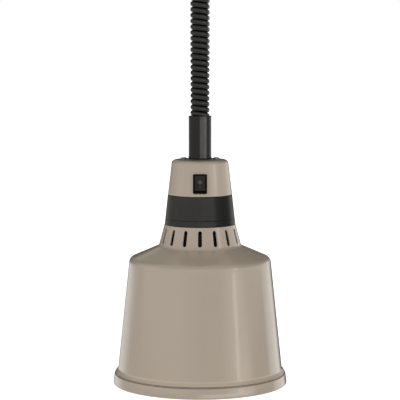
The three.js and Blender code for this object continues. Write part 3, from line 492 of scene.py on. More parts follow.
def neck_sector(slot):
    """One slot's share of the neck: its two skins round the slot, and the slot's wall with eased edges."""
    columns, uprights = ROUND // SLOTS, 10
    half_angle = math.pi / SLOTS
    low, high = VENTED[0] - SLOT_MIDDLE, VENTED[1] - SLOT_MIDDLE
    across = [2 * i / columns - 1 for i in range(columns)]
    frame_points = [(half_angle * share, low) for share in across]
    frame_points += [(half_angle, low + (high - low) * i / uprights) for i in range(uprights)]
    frame_points += [(half_angle * -share, high) for share in across]
    frame_points += [(-half_angle, high + (low - high) * i / uprights) for i in range(uprights)]
    middle_radius = neck_radius(SLOT_MIDDLE, 0)
    straight = SLOT_HALF_LENGTH - SLOT_HALF_WIDTH

    def slot_point(angle_share, height, grow):
        """The slot's outline in the direction of a frame point, grown by a distance."""
        direction = np.array([angle_share * middle_radius * 0.55, height])
        a = math.atan2(direction[1], direction[0])
        reach = SLOT_HALF_WIDTH + grow
        if abs(direction[1]) * reach <= abs(direction[0]) * straight:
            across = math.copysign(reach, direction[0])
            return across / middle_radius, math.tan(a) * across
        side = math.copysign(straight, direction[1])
        b = 2 * side * math.sin(a)
        c = straight ** 2 - reach ** 2
        r = (b + math.sqrt(max(b * b - 4 * c, 0))) / 2
        return r * math.cos(a) / middle_radius, r * math.sin(a)

    def ring(share, inset, grow=0.0):
        points = []
        for angle, height in frame_points:
            sa, sh = slot_point(angle, height, grow)
            a, h = sa + share * (angle - sa), sh + share * (height - sh)
            r = neck_radius(h + SLOT_MIDDLE, inset)
            turned = a + TAU * slot / SLOTS - math.pi / 2
            points.append((r * math.cos(turned), r * math.sin(turned), h + SLOT_MIDDLE))
        return points

    ease, ease_middle, burr = 0.12, 0.04, SHEET + SLOT_BURR
    rings = [ring(1, 0), ring(0.55, 0), ring(0.25, 0)]
    rings += [ring(0, 0, ease), ring(0, ease_middle, ease_middle), ring(0, ease)]
    rings += [ring(0, burr - ease), ring(0, burr - ease_middle, ease_middle), ring(0, burr, ease)]
    rings += [ring(0.22, burr - 0.1), ring(0.3, SHEET), ring(0.55, SHEET), ring(1, SHEET)]
    vertices, faces = loft(rings)
    return vertices, faces[:-2]


def shade_corners(inset):
    """Corners of the sheet from the rim's groove to just under the slots, inset from its outer face."""
    slope = (NECK_TOP[0] - NECK_FOOT[0]) / (NECK_TOP[1] - NECK_FOOT[1])
    top_radius = NECK_FOOT[0] + slope * (VENTED[0] - NECK_FOOT[1])
    edge_radius, edge = RIM_RADIUS - RIM_EDGE[0], RIM_EDGE[1]
    if inset:
        rim = [[edge_radius - 1.25, edge - 1.6, 1.5], [edge_radius - 3.4, edge + 0.9, 1.2]]
    else:
        rim = [
            [edge_radius, edge, 0.6], [edge_radius - 1.95, edge + 0.3, 0.3],
            [edge_radius - 2.05, edge + 1.0, 0.3], [edge_radius - 1.0, edge + 1.75, 0.3]]
    return [
        *rim, [BODY_FOOT - inset, RIM_TOP - 0.4 * inset, 3.5 + inset],
        [SHOULDER[0] - inset, SHOULDER[1] - inset, 6.5 - inset],
        [NECK_FOOT[0] - inset, NECK_FOOT[1] - inset * 0.9, 4.7 + inset],
        [top_radius - inset, VENTED[0], 0],
    ]


def shade():
    """The skirt from the rolled lip to the neck, the slotted neck and its inward flange, all one sheet."""
    lip, bend_foot = 0.45, 2.0
    within = RIM_RADIUS - SHEET
    outer = rounded_path([[RIM_RADIUS, bend_foot, 0], *shade_corners(0)], closed=False, steps=8)
    inner = rounded_path([[within, bend_foot, 0], *shade_corners(SHEET)], closed=False, steps=8)[::-1]
    edge = rounded_path([[within, 1.5, 0], [within, 0, lip], [RIM_RADIUS, 0, lip], [RIM_RADIUS, 1.5, 0]],
                        closed=False, steps=3)
    skirt = lathe(inner + edge + outer, ROUND, closed=False)
    top_radius, top = NECK_TOP
    flange = lathe(rounded_path([
        [neck_radius(VENTED[1], 0), VENTED[1], 0], [top_radius, top, 0.3], [FLANGE_BORE, top, 0.2],
        [FLANGE_BORE, top - SHEET, 0.2], [top_radius - SHEET - 0.3, top - SHEET, 0.2],
        [neck_radius(VENTED[1], SHEET), VENTED[1], 0]], closed=False, steps=3), ROUND, closed=False)
    whole = place(combine(skirt, flange, *[neck_sector(i) for i in range(SLOTS)]), UPRIGHT, (0, 0, HEAD))
    make_piece("spun_shade", "head", "champagne_paint", *whole, "shade", sharp=50)


# ---- collar, housing and their screws

COLLAR = {"foot": 173.4, "foot_radius": 38.2, "top": 205.2, "top_radius": 34.7, "bore": 31.4}
HOUSING = {"foot": 205.5, "foot_radius": 34.6, "top": 242.6, "top_radius": 30.2}
CROWN_TOP = 243.7
CROWN_RADIUS = 14.0
SPIGOT_HOLE = 10.9
TOP_SCREW_X = sum(corner.x / 2 for corner in node_box("top_screw_right"))
SCREW_HOLE = 2.2  # radius of the holes for the housing's and the canopy's screws


def collar_radius(height):
    share = (height - COLLAR["foot"]) / (COLLAR["top"] - COLLAR["foot"])
    return COLLAR["foot_radius"] + share * (COLLAR["top_radius"] - COLLAR["foot_radius"])


def grip_collar():
    """The moulded collar, with a shallow groove that runs round it above its foot."""
    groove, depth, half = COLLAR["foot"] + 6.4, 0.35, 0.45
    floor_radius = collar_radius(groove) - depth
    corners = [
        [COLLAR["bore"], COLLAR["foot"], 0.3], [COLLAR["foot_radius"], COLLAR["foot"], 0.5],
        [collar_radius(groove - half), groove - half, 0.15], [floor_radius, groove - half / 3, 0.1],
        [floor_radius, groove + half / 3, 0.1], [collar_radius(groove + half), groove + half, 0.15],
        [COLLAR["top_radius"], COLLAR["top"], 0.5], [COLLAR["bore"], COLLAR["top"], 0.3],
    ]
    turned_piece(
        "moulded_grip_collar", "head", "dark_plastic", corners, "grip_collar", segments=ROUND, foot=HEAD)


def drill(radius, reach):
    """A round cutter along Z. Its corners lie off the axes' planes, where the pieces it cuts have edges."""
    sides = 32
    rod = lathe([(0, -reach), (radius, -reach), (radius, reach), (0, reach)], sides, closed=False)
    return place(rod, turn_about("z", 180 / sides), (0, 0, 0))


def cut_away(piece, *cutters):
    """Cuts closed shells out of a piece by exact booleans, and applies them."""
    for vertices, faces in cutters:
        tool = new_object("cutter", vertices, [], faces)
        modifier = piece.modifiers.new("cut", "BOOLEAN")
        modifier.operation, modifier.solver, modifier.object = "DIFFERENCE", "EXACT", tool
        bpy.context.view_layer.update()
        evaluated = piece.evaluated_get(bpy.context.evaluated_depsgraph_get())
        cut = bpy.data.meshes.new_from_object(evaluated)
        piece.modifiers.clear()
        piece.data = cut
        bpy.data.objects.remove(tool)
    piece.data.shade_smooth()
    piece.data.set_sharp_from_angle(angle=math.radians(SHARP))


HOUSING_LEAN = math.degrees(math.atan2(
    HOUSING["foot_radius"] - HOUSING["top_radius"], HOUSING["top"] - HOUSING["foot"]))
SWITCH_MIDDLE = 219.3
SEAT_LEAN = math.tan(math.radians(HOUSING_LEAN))
SEAT_RADIUS = HOUSING["foot_radius"] - (SWITCH_MIDDLE - HOUSING["foot"]) * SEAT_LEAN


def onto_seat(part):
    """Lays a part built in (across, depth, up), seated at depth 0, onto the leaning housing's front."""
    return place(part, turn_about("x", -HOUSING_LEAN), (0, -SEAT_RADIUS, SWITCH_MIDDLE + HEAD))


def upper_housing():
    """The pressed housing, with the switch's opening and the holes of the two screws on its crown."""
    foot, foot_radius = HOUSING["foot"], HOUSING["foot_radius"]
    top, top_radius = HOUSING["top"], HOUSING["top_radius"]
    corners = [
        [foot_radius - SHEET, foot, 0.4], [foot_radius, foot, 0.55], [top_radius, top, 4.0],
        [CROWN_RADIUS, CROWN_TOP, 0], [SPIGOT_HOLE, CROWN_TOP, 0.2], [SPIGOT_HOLE, CROWN_TOP - SHEET, 0.2],
        [top_radius - SHEET, top - SHEET, 2.8],
    ]
    part = lathe(rounded_path(corners, steps=8), ROUND, foot=HEAD)
    piece = make_piece("pressed_upper_housing", None, "champagne_paint", *part)
    opening = rounded_rectangle(6.7, 9.8, 0.8, 3)
    tool = onto_seat(loft([[(x, y, z) for x, z in opening] for y in (5.0, -5.0)]))
    holes = [place(drill(SCREW_HOLE, 8), UPRIGHT, (s * TOP_SCREW_X, 0, CROWN_TOP + HEAD)) for s in (-1, 1)]
    cut_away(piece, tool, *holes)
    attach(piece, "head")
    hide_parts("upper_housing")


def socket_head(radius, height, key=2.0, deep=1.3, shank=1.8, length=10.0):
    """A button-head screw standing on z = 0, with a hexagon socket, and its shank below."""
    count = 36

    def hexagon(across, z):
        points = []
        for i in range(count):
            a = TAU * i / count
            facet = (a % (math.pi / 3)) - math.pi / 6
            r = across / 2 / math.cos(facet)
            points.append((r * math.cos(a), r * math.sin(a), z))
        return points

    outline = [(shank * 0.8, -length), (shank, -length + 0.5), (shank, 0), (radius - 0.15, 0)]
    outline += [(radius, 0.15), (radius, height * 0.3)]
    for k in range(1, 6):
        a = math.pi / 2 * k / 6
        outline.append((radius * (0.55 + 0.45 * math.cos(a)), height * (0.3 + 0.7 * math.sin(a))))
    loops = [circle(r, z, count) for r, z in [*outline, (key * 0.74, height)]]
    loops += [hexagon(key + 0.2, height), hexagon(key, height - 0.12), hexagon(key, height - deep)]
    return loft([*loops, circle(key * 0.2, height - deep - 0.25, count)])


def top_screws():
    """The two screws on the housing, just clear of its crown."""
    for side, name in ((-1, "left"), (1, "right")):
        part = socket_head(3.3, 1.5, key=2.1, deep=0.8)
        part = place(part, turn_about("z", 20 * side), (side * TOP_SCREW_X, 0, CROWN_TOP + HEAD + 0.05))
        make_piece("housing_screw_" + name, "head", "plated_steel", *part, "top_screw_" + name,
                   ["screw_steel"])


# ---- switch

SWITCH_HALF = (7.5, 10.5)
SWITCH_BODY_HALF = (6.4, 9.5)
WELL_HALF = (5.95, 9.1)
BEZEL = 1.9
SWITCH_DEPTH = 11.0
ROCKER_HALF = (5.6, 8.3)
ROCKER_PIVOT = 3.2  # depth of the rocker's axis behind its seat
ROCKER_TILT = 10.0  # degrees at rest
MARK_LIFT = 0.02  # how far a printed mark's back lies under the rocker's face
MARK_FRONT = -0.03


def switch_body():
    """The snap-in body and its raised bezel, with the well that the rocker sits in."""
    corner, flange, lip = 1.5, 1.4, 0.5
    steps = [
        (SWITCH_BODY_HALF, 0, 0.6, SWITCH_DEPTH), (SWITCH_BODY_HALF, 0, 0.6, flange),
        (SWITCH_HALF, 0, corner, flange), (SWITCH_HALF, 0, corner, lip - BEZEL)]
    for k in range(1, 5):
        a = math.pi / 2 * k / 4
        inward = 0.55 * (1 - math.cos(a))
        steps.append((SWITCH_HALF, -inward, corner - inward, lip - BEZEL - lip * math.sin(a)))
    steps += [
        (WELL_HALF, 0.25, 0.8, -BEZEL), (WELL_HALF, 0.06, 0.65, 0.08 - BEZEL),
        (WELL_HALF, 0, 0.6, 0.3 - BEZEL), (WELL_HALF, 0, 0.6, 7.0)]
    loops = []
    for (half_width, half_height), grow, radius, depth in steps:
        outline = rounded_rectangle(half_width + grow, half_height + grow, radius)
        loops.append([(x, depth, z) for x, z in outline])
    make_piece("switch_bezel", "head", "black_plastic", *onto_seat(loft(loops)), "switch_body")


def tilted(part):
    """Turns a rocker part about its pivot to its rest position."""
    turned = place(part, UPRIGHT, (0, -ROCKER_PIVOT, 0))
    turned = place(turned, turn_about("x", -ROCKER_TILT), (0, ROCKER_PIVOT, 0))
    return onto_seat(turned)


def rocker_face(height):
    """Depth of the rocker's dished face at a height above its middle."""
    share = min(abs(height) / ROCKER_HALF[1], 1.0)
    return -0.9 - 1.2 * share ** 1.3


def printed(outline, depth):
    """An outline of (across, up) points laid along the rocker's face."""
    return [(x, rocker_face(z) + depth, z) for x, z in outline]


def switch_rocker():
    """The dished rocker with eased edges."""
    half_width, half_height = ROCKER_HALF
    edges = [half_height - 0.02, half_height - 0.1, half_height - 0.3]
    middle = np.linspace(-half_height + 0.6, half_height - 0.6, 22)
    heights = np.concatenate([[-h for h in edges], middle, edges[::-1]])
    ease = 0.35
    section = []
    for h in heights:
        edge = min(max(0.0, abs(h) - (half_height - ease)) / ease, 1.0)
        section.append((rocker_face(h) + ease * (1 - math.sqrt(1 - edge ** 2)), h))
    back_depth, back_half = 4.0, half_height - 1.2
    back = [(back_depth, back_half), (back_depth, -back_half)]
    eased = [(1.0, 0.35), (0.985, 0.12), (0.95, 0.02), (0.9, 0.0)]
    loops = []
    for share, inset in [(-share, inset) for share, inset in eased] + eased[::-1]:
        x = share * half_width
        front = [(x, depth + inset, h * (1 - inset / half_height)) for depth, h in section]
        loops.append(front + [(x, depth, h) for depth, h in back])
    make_piece("rocker_button", "rocker", "black_plastic", *tilted(loft(loops)), "switch_rocker",
               ["rocker_plastic"], sharp=50)


def switch_marks():
    """The rocker's two printed marks: a ring above its middle and a bar below."""
    ring_height, count = 0.9, 40
    outer, inner = [
        [(x, ring_height + y) for x, y, _ in circle(radius, 0, count)] for radius in (1.75, 1.2)]
    loops = [
        printed(outer, MARK_LIFT), printed(outer, MARK_FRONT), printed(inner, MARK_FRONT),
        printed(inner, MARK_LIFT)]
    ring = tilted(loft(loops, closed=True))
    half_width, foot, top = 0.15, -4.8, -2.9
    outline = [(-half_width, foot), (half_width, foot), (half_width, top), (-half_width, top)]
    bar = tilted(loft([printed(outline, MARK_LIFT), printed(outline, MARK_FRONT)]))
    make_piece("rocker_off_mark", "rocker", "white_plastic", *ring, finishes=["switch_marks"])
    make_piece("rocker_on_mark", "rocker", "white_plastic", *bar, finishes=["switch_marks"])


# ---- sleeve and cord


def cord_sleeve():
    """The sleeve over the cord's foot, with a thicker band at either end and a spigot into the housing."""
    low, high = node_box("cord_sleeve")
    foot = 244.7 + HEAD
    tube, band, spigot, spigot_bore, bore = 12.3, 12.45, 10.5, 9.2, 10.9
    corners = [
        [spigot_bore, low.z, 0.2], [spigot, low.z, 0.3], [spigot, foot, 0], [band, foot, 0.3],
        [band, foot + 1.6, 0.3], [tube, foot + 2.0, 0.2], [tube, high.z - 2.2, 0.2],
        [band, high.z - 1.8, 0.2], [band, high.z, 0.5], [bore, high.z, 0.4], [bore, foot + 4, 0.4],
        [spigot_bore, foot + 2.4, 0.4],
    ]
    turned_piece("painted_cord_sleeve", "head", "dark_paint", corners, "cord_sleeve", segments=128)


def round_cable(name, path, radius, sides, slot, stands_for):
    """A cable kept as its centre line, with a section from nodes, so that it stays round when stretched."""
    cable = new_object(name, path, [(i, i + 1) for i in range(len(path) - 1)], [])
    cable.data.materials.append(FINISHES[slot])
    tree = bpy.data.node_groups.new(name + "_section", "GeometryNodeTree")
    for way in ("INPUT", "OUTPUT"):
        tree.interface.new_socket("Geometry", in_out=way, socket_type="NodeSocketGeometry")
    entry, leave = tree.nodes.new("NodeGroupInput"), tree.nodes.new("NodeGroupOutput")
    line = add_node(tree, "GeometryNodeMeshToCurve", {"Mesh": entry.outputs[0]})
    section = add_node(tree, "GeometryNodeCurvePrimitiveCircle", {"Resolution": sides, "Radius": radius * MM})
    skin = add_node(tree, "GeometryNodeCurveToMesh", {
        "Curve": line.outputs[0], "Profile Curve": section.outputs[0], "Fill Caps": True})
    smooth = add_node(tree, "GeometryNodeSetShadeSmooth", {"Geometry": skin.outputs[0]})
    inputs = {"Geometry": smooth.outputs[0], "Material": FINISHES[slot]}
    dressed = add_node(tree, "GeometryNodeSetMaterial", inputs)
    tree.links.new(dressed.outputs[0], leave.inputs[0])
    cable.modifiers.new("section", "NODES").node_group = tree
    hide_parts(stands_for)
    return cable


CORD_RADIUS = 2.95
COIL_RADIUS = 7.45
COIL_LOW, COIL_HIGH = node_box("coil_cord")
COIL_FOOT, COIL_TOP = COIL_LOW.z + CORD_RADIUS, COIL_HIGH.z - CORD_RADIUS


def stretch_with_the_head(piece):
    """Bakes a piece's placing into its mesh; the piece hangs between the pendant and the lamp head."""
    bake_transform(piece)


def coil():
    pitch, per_turn = 6.13, 36
    steps = round((COIL_TOP - COIL_FOOT) / pitch) * per_turn
    path = []
    for i in range(steps + 1):
        a = TAU * i / per_turn
        height = COIL_TOP + (COIL_FOOT - COIL_TOP) * i / steps
        path.append((COIL_RADIUS * math.cos(a), COIL_RADIUS * math.sin(a), height))
    stretch_with_the_head(round_cable("coiled_cord", path, CORD_RADIUS, 18, "cord_rubber", "coil_cord"))


def rope_length(name, body, path, radius, sides):
    """A length of six-strand wire rope along a path."""
    part = sweep_tube(path, radius, sides, lobes=6, lay=0.35, depth=0.3)
    return make_piece(name, body, "plated_steel", *part, finishes=["rope_steel"], sharp=70)


def hanging_ropes():
    """The hanging rope in two lengths, which meet at the ball joint's centre."""
    low, high = node_box("hanging_rope")
    bushing_low, bushing_high = node_box("ball_bushing")
    pivot = (bushing_low.z + bushing_high.z) / 2

    def hung(name, top, foot):
        heights = np.linspace(top, foot, int((top - foot) * 0.8))
        return rope_length(name, None, [(0, 0, h) for h in heights], 0.95, 24)

    lead = hung("wire_rope_lead", high.z, pivot)
    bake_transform(lead)
    rope = hung("wire_rope", pivot, low.z)
    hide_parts("hanging_rope")
    stretch_with_the_head(rope)


def wound_rope():
    """The rope's turns on the drum."""
    drum_radius, axis_z, turns, pitch, steps = 18.0, -25.4, 4.3, 1.95, 420
    path = []
    for i in range(steps + 1):
        turn = turns * (i / steps - 1)
        a = TAU * turn
        path.append((drum_radius * (math.cos(a) - 1), turn * pitch, axis_z - drum_radius * math.sin(a)))
    rope = rope_length("rope_on_drum", "reel", path, 0.92, 18)
    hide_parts("wound_rope")


# ---- bulb and holder

BULB_FOOT = node_box("bulb_envelope")[0].z
BULB_PROFILE = [
    [0, 0], [34, 2.4], [52, 9], [60.5, 20], [62.5, 31], [60, 43], [52.5, 60], [40, 82], [27.5, 107],
    [18.6, 128], [14, 140], [12.1, 147.5], [12.1, 155.5],
]
REFLECTOR_FOOT = 34.0  # height above the bulb's face from which its inside is silvered


def bulb_envelope():
    """A blown envelope with an even wall: clear at the face, silvered from its widest part to the neck."""
    outer = smooth_curve([(-34, 0, 2.4)] + [(r, 0, z) for r, z in BULB_PROFILE], 96)
    outer = np.array([(max(p[0], 0.0), p[2]) for p in outer if p[0] > -0.2])
    outer[0] = (0, outer[0][1])
    outer[:, 1] = np.maximum(outer[:, 1], 0.0)
    steps = np.gradient(outer, axis=0)
    normals = np.stack([-steps[:, 1], steps[:, 0]], axis=1)
    normals /= np.linalg.norm(normals, axis=1)[:, None]
    wall = 0.9
    inner = outer + wall * normals
    inner[0] = (0, outer[0][1] + wall)
    inner[:, 0] = np.maximum(inner[:, 0], 0.0)
    points = [tuple(p) for p in outer] + [tuple(p) for p in inner[::-1]]
    part = lathe(points, 96, closed=False, foot=BULB_FOOT)
    make_piece(
        "reflector_bulb", "bulb", "bulb_glass", *part, "bulb_envelope", ["bulb_glass", "bulb_mirror"],
        face_finish=lambda c: int(c.z > BULB_FOOT + REFLECTOR_FOOT), sharp=60)


def threaded(radius, bore, low, high, depth, foot_plain, top_plain):
    """A thin threaded tube: rolled thread between plain ends, the same wave inside and out."""
    pitch, rows_per_pitch, segments = 3.6, 8, 64
    rows = int((high - low) / pitch * rows_per_pitch) + 1

    def wave(a, z):
        from_foot, from_top = z - low - foot_plain, high - top_plain - z
        ends = min(1.0, max(0.0, from_foot / (pitch / 2)), max(0.0, from_top / (pitch / 2)))
        return depth * ends * (0.5 - 0.5 * math.cos(TAU * (z / pitch) - a))

    loops = []
    for base, order in ((radius, range(rows)), (bore, range(rows - 1, -1, -1))):
        for k in order:
            z = low + (high - low) * k / (rows - 1)
            loop = []
            for i in range(segments):
                a = TAU * i / segments
                r = base - wave(a, z)
                loop.append((r * math.cos(a), r * math.sin(a), z))
            loops.append(loop)
    return loft(loops, closed=True)


def bulb_cap():
    """The bulb's threaded cap and its rounded end, which holds the insulator."""
    low, high = node_box("bulb_cap")
    skirt = threaded(13.2, 12.5, low.z, high.z - 1.6, 0.75, 4.0, 2.0)
    end = lathe(rounded_path([
        [12.4, high.z - 2.4, 0.2], [13.15, high.z - 2.4, 0.2], [12.9, high.z - 0.9, 0.8], [8.4, high.z, 0.2],
        [8.4, high.z - 0.85, 0.1], [12.2, high.z - 1.6, 0.3]], steps=4), 64)
    make_piece("screw_cap", "bulb", "brass", *combine(skirt, end), "bulb_cap", ["cap_metal"])


def holder_shell():
    low, high = node_box("holder_shell")
    shell = threaded(14.45, 13.75, low.z, high.z, 0.1, 1.2, 1.2)
    make_piece("threaded_shell", "head", "brass", *shell, "holder_shell")


def lamp_holder():
    """The ceramic holder: a cup with a flared inner foot, a groove round its waist and a hole on top."""
    top = node_box("lamp_holder")[1].z
    radius, bore, foot, waist = 20.5, 14.8, HEAD + 150.5, HEAD + 167
    corners = [
        [bore, foot + 8, 1.0], [18.2, foot, 0.5], [radius, foot, 0.8], [radius, waist, 0.4],
        [radius - 0.8, waist + 0.8, 0.4], [radius - 0.8, waist + 4.2, 0.4], [radius, waist + 5, 0.4],
        [radius, top - 7.4, 2.5], [13, top, 1.0], [5.2, top, 0.4], [5.2, top - 5.9, 0.4],
        [bore, top - 7.9, 0.8],
    ]
    turned_piece("ceramic_holder", "head", "dark_glaze", corners, "lamp_holder", steps=5)


def heat_baffle():
    """The pressed baffle behind the slots: a collar round the holder, a flat web and a skirt."""
    low, high = node_box("heat_baffle")
    bore, web = 20.9, HEAD + 166.5
    corners = [
        [bore, web - SHEET, 0.3], [high.x - 4.5, web - SHEET, 1.4], [high.x - SHEET, low.z, 0.3],
        [high.x, low.z, 0.3], [high.x - 3.3, web, 2.6], [bore + SHEET, web, 0.5], [bore + SHEET, high.z, 0.4],
        [bore, high.z, 0.4],
    ]
    turned_piece("pressed_heat_baffle", "head", "dark_paint", corners, "heat_baffle", steps=6, segments=ROUND,
                 finishes=["baffle_painted_shade"])


def bulb_stem():
    low, high = node_box("bulb_stem")
    corners = [
        [0, low.z, 0], [1.8, low.z, 0.8], [2.6, low.z + 4, 1.0], [2.6, low.z + 38, 4], [5, low.z + 48, 4],
        [10.4, high.z - 1, 0.4], [10.4, high.z, 0.3], [0, high.z, 0],
    ]
    turned_piece("glass_stem", "bulb", "bulb_glass", corners, "bulb_stem", steps=5, segments=48, on_axis=True)


def bulb_insulator():
    low, high = node_box("bulb_insulator")
    corners = [[0, low.z, 0], [8.1, low.z, 0.2], [8.1, high.z - 2.6, 0.6], [4.8, high.z, 0.4], [0, high.z, 0]]
    turned_piece("cap_insulator", "bulb", "black_plastic", corners, "bulb_insulator", segments=48,
                 on_axis=True)


def filament_coil():
    """Two straight leads and a coiled wire between them, round the front of the stem."""
    low, high = node_box("filament")
    half_width, depth = high.x - 0.6, high.y - 0.6
    middle = low.z + 2.6
    leads = [
        (3.4, 0, high.z), (8, 0, high.z - 18), (half_width, 0, middle + 3),
        (0.73 * half_width, 0.7 * depth, middle)]
    arc = leads[2:] + [(0, depth, middle - 2)] + [(-x, y, z) for x, y, z in leads[2:][::-1]]
    centre, across = frames_along(smooth_curve(arc, 1500))
    run = np.linspace(0, 1, len(centre))
    turns, coil_radius, wire = 70, 0.45, 0.11
    coiled = [
        c + coil_radius * (math.cos(TAU * turns * t) * u + math.sin(TAU * turns * t) * v)
        for c, (u, v), t in zip(centre, across, run)]
    parts = [sweep_tube(coiled, wire, sides=6)]
    for side in (-1, 1):
        lead = [(side * x, y, z) for x, y, z in leads[:3]]
        parts.append(sweep_tube(smooth_curve(lead, 30), 0.4, sides=10))
    make_piece("coiled_filament", "bulb", "tungsten", *combine(*parts), "filament", sharp=60)


# ---- ceiling unit


CANOPY_RADIUS = node_box("canopy")[1].x
SIDE_SCREW_Z = sum(corner.z for corner in node_box("canopy_screw_left")) / 2


def canopy():
    """The spun canopy: a flat foot round its outlet, a quarter of an ellipse and a straight rim."""
    low, high = node_box("canopy")
    radius, skirt, foot_radius, outlet, steps = CANOPY_RADIUS, -42.0, 22.0, 15.4, 32

    def bowl(order, inset):
        points = []
        for k in order:
            a = math.pi / 2 * k / steps
            across, rise = radius - foot_radius - inset, skirt - low.z - inset
            points.append((foot_radius + across * math.sin(a), skirt - rise * math.cos(a)))
        return points

    corners = [[outlet, low.z + SHEET, 0], [outlet, low.z, 0.35], [foot_radius, low.z, 0]]
    foot = rounded_path(corners, closed=False)
    within, rim_foot = radius - SHEET, skirt + 2
    corners = [[radius, rim_foot, 0], [radius, high.z, 0.4], [within, high.z, 0.4], [within, rim_foot, 0]]
    rim = rounded_path(corners, closed=False, steps=4)
    outer, inner = bowl(range(1, steps + 1), 0), bowl(range(steps, 0, -1), SHEET)
    part = lathe(foot[1:] + outer + rim + inner + [(foot_radius, low.z + SHEET)] + foot[:1], ROUND)
    piece = make_piece("spun_canopy", None, "champagne_paint", *part, sharp=45)
    holes = [
        place(drill(SCREW_HOLE, 6), turn_about("y", 90), (s * radius, 0, SIDE_SCREW_Z)) for s in (-1, 1)]
    cut_away(piece, *holes)
    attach(piece, "ceiling")
    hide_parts("canopy")


def side_screws():
    """The two screws that hold the canopy, just clear of its side."""
    for side, name in ((-1, "left"), (1, "right")):
        part = socket_head(3.6, 2.2, key=2.4, shank=1.6, length=9)
        part = place(part, turn_about("y", 90 * side), (side * (CANOPY_RADIUS + 0.2), 0, SIDE_SCREW_Z))
        make_piece("side_screw_" + name, "ceiling", "plated_steel", *part, "canopy_screw_" + name,
                   ["screw_steel"])


def ball_bushing():
    """The ball of the joint, with a hole that flares towards both mouths."""
    low, high = node_box("ball_bushing")
    middle, half, ball = (low.z + high.z) / 2, (high.z - low.z) / 2, 17.0
    edge = math.asin(half / ball)
    points = [(ball * math.cos(a), ball * math.sin(a)) for a in np.linspace(-edge, edge, 24)]
    mouth, throat = 13.0, 10.95
    inner = [(throat + (mouth - throat) * (z / half) ** 2, z) for z in np.linspace(half, -half, 17)]
    part = lathe(points + inner, 96, foot=middle)
    make_piece("ball_joint_bushing", "pendant", "black_plastic", *part, "ball_bushing")


# ---- cord ends and kept CAD nodes


def cord_end_in_head():
    """The cord's end, from the coil's foot to its straight run down the middle of the head."""
    low = node_box("cord_tail")[0].z
    path = smooth_curve([
        (COIL_RADIUS, 0.35, COIL_FOOT - 0.2), (7.3, 2.6, COIL_FOOT - 1.0), (5.4, 4.4, COIL_FOOT - 3.0),
        (2.95, 5.11, COIL_FOOT - 11), (2.95, 5.11, COIL_FOOT - 30), (2.95, 5.11, low)], 90)
    part = sweep_tube(path, CORD_RADIUS, sides=20)
    make_piece("cord_end_in_head", "head", "cord_rubber", *part, "cord_tail", sharp=60)


def cord_end_in_canopy():
    """The cord's other end, from the coil's top to the terminal block."""
    path = smooth_curve([
        (COIL_RADIUS, -0.7, COIL_TOP + 0.1), (7.05, -3.4, COIL_TOP + 0.8), (7.45, -5, COIL_TOP + 4.6),
        (10.05, -4.4, COIL_TOP + 10), (18, -2.4, -35), (26, -0.6, -28), (30, 0, -22), (30, 0, -15.35)], 120)
    part = sweep_tube(path, CORD_RADIUS, sides=20)
    piece = make_piece("cord_end_in_canopy", None, "cord_rubber", *part, sharp=60)
    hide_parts("supply_tail")
    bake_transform(piece)


KEPT_FINISHES = {
    "plated_steel": [
        "ceiling_bracket", "reel_frame", "reel_axle", "axle_clip_front", "axle_clip_rear", "inner_frame",
        "tie_screw_1", "tie_screw_2", "tie_screw_3", "sleeve_nut", "anchor_plate", "rope_ferrule",
        "bulb_contact"],
    "spring_steel": ["main_spring"],
    "white_plastic": ["rope_drum", "drum_cover", "terminal_block"],
    "black_plastic": ["sleeve_washer", "cord_clamp", "cord_grip"],
    "brass": [
        "switch_terminal_upper", "switch_terminal_lower", "holder_contact", "holder_nipple", "holder_nut",
        "earth_screw"],
    "brown_insulation": ["live_wire", "switched_live_wire"],
    "blue_insulation": ["neutral_wire"],
    "green_insulation": ["earth_wire"],
}


def dress_kept_node(node, finish_name):
    """Gives a CAD node that stays its finish, and rounds it if it is a wire, or else bevels its edges."""
    mesh = node.data
    mesh.materials.clear()
    mesh.materials.append(FINISHES[finish_name])
    mesh.polygons.foreach_set("material_index", [0] * len(mesh.polygons))
    weld = node.modifiers.new("weld", "WELD")
    weld.merge_threshold = 1e-6
    if finish_name.endswith("insulation"):
        rounder = node.modifiers.new("round", "SUBSURF")
        rounder.levels = rounder.render_levels = 2
        return
    bevel = node.modifiers.new("bevel", "BEVEL")
    bevel.width, bevel.segments, bevel.limit_method = 0.2 * MM, 2, "ANGLE"
    bevel.angle_limit = math.radians(40)
    mesh.shade_smooth()
    node.modifiers.new("even_normals", "WEIGHTED_NORMAL")


# ---- studio

LOOK_AT = Vector((0, 0, HEAD + 199)) * MM
CAMERA_DISTANCE = 1.9  # metres
CAMERA_PITCH = math.radians(5.9)
FLOOR_Z = -1700.0
FLOOR_HALF = 60000.0


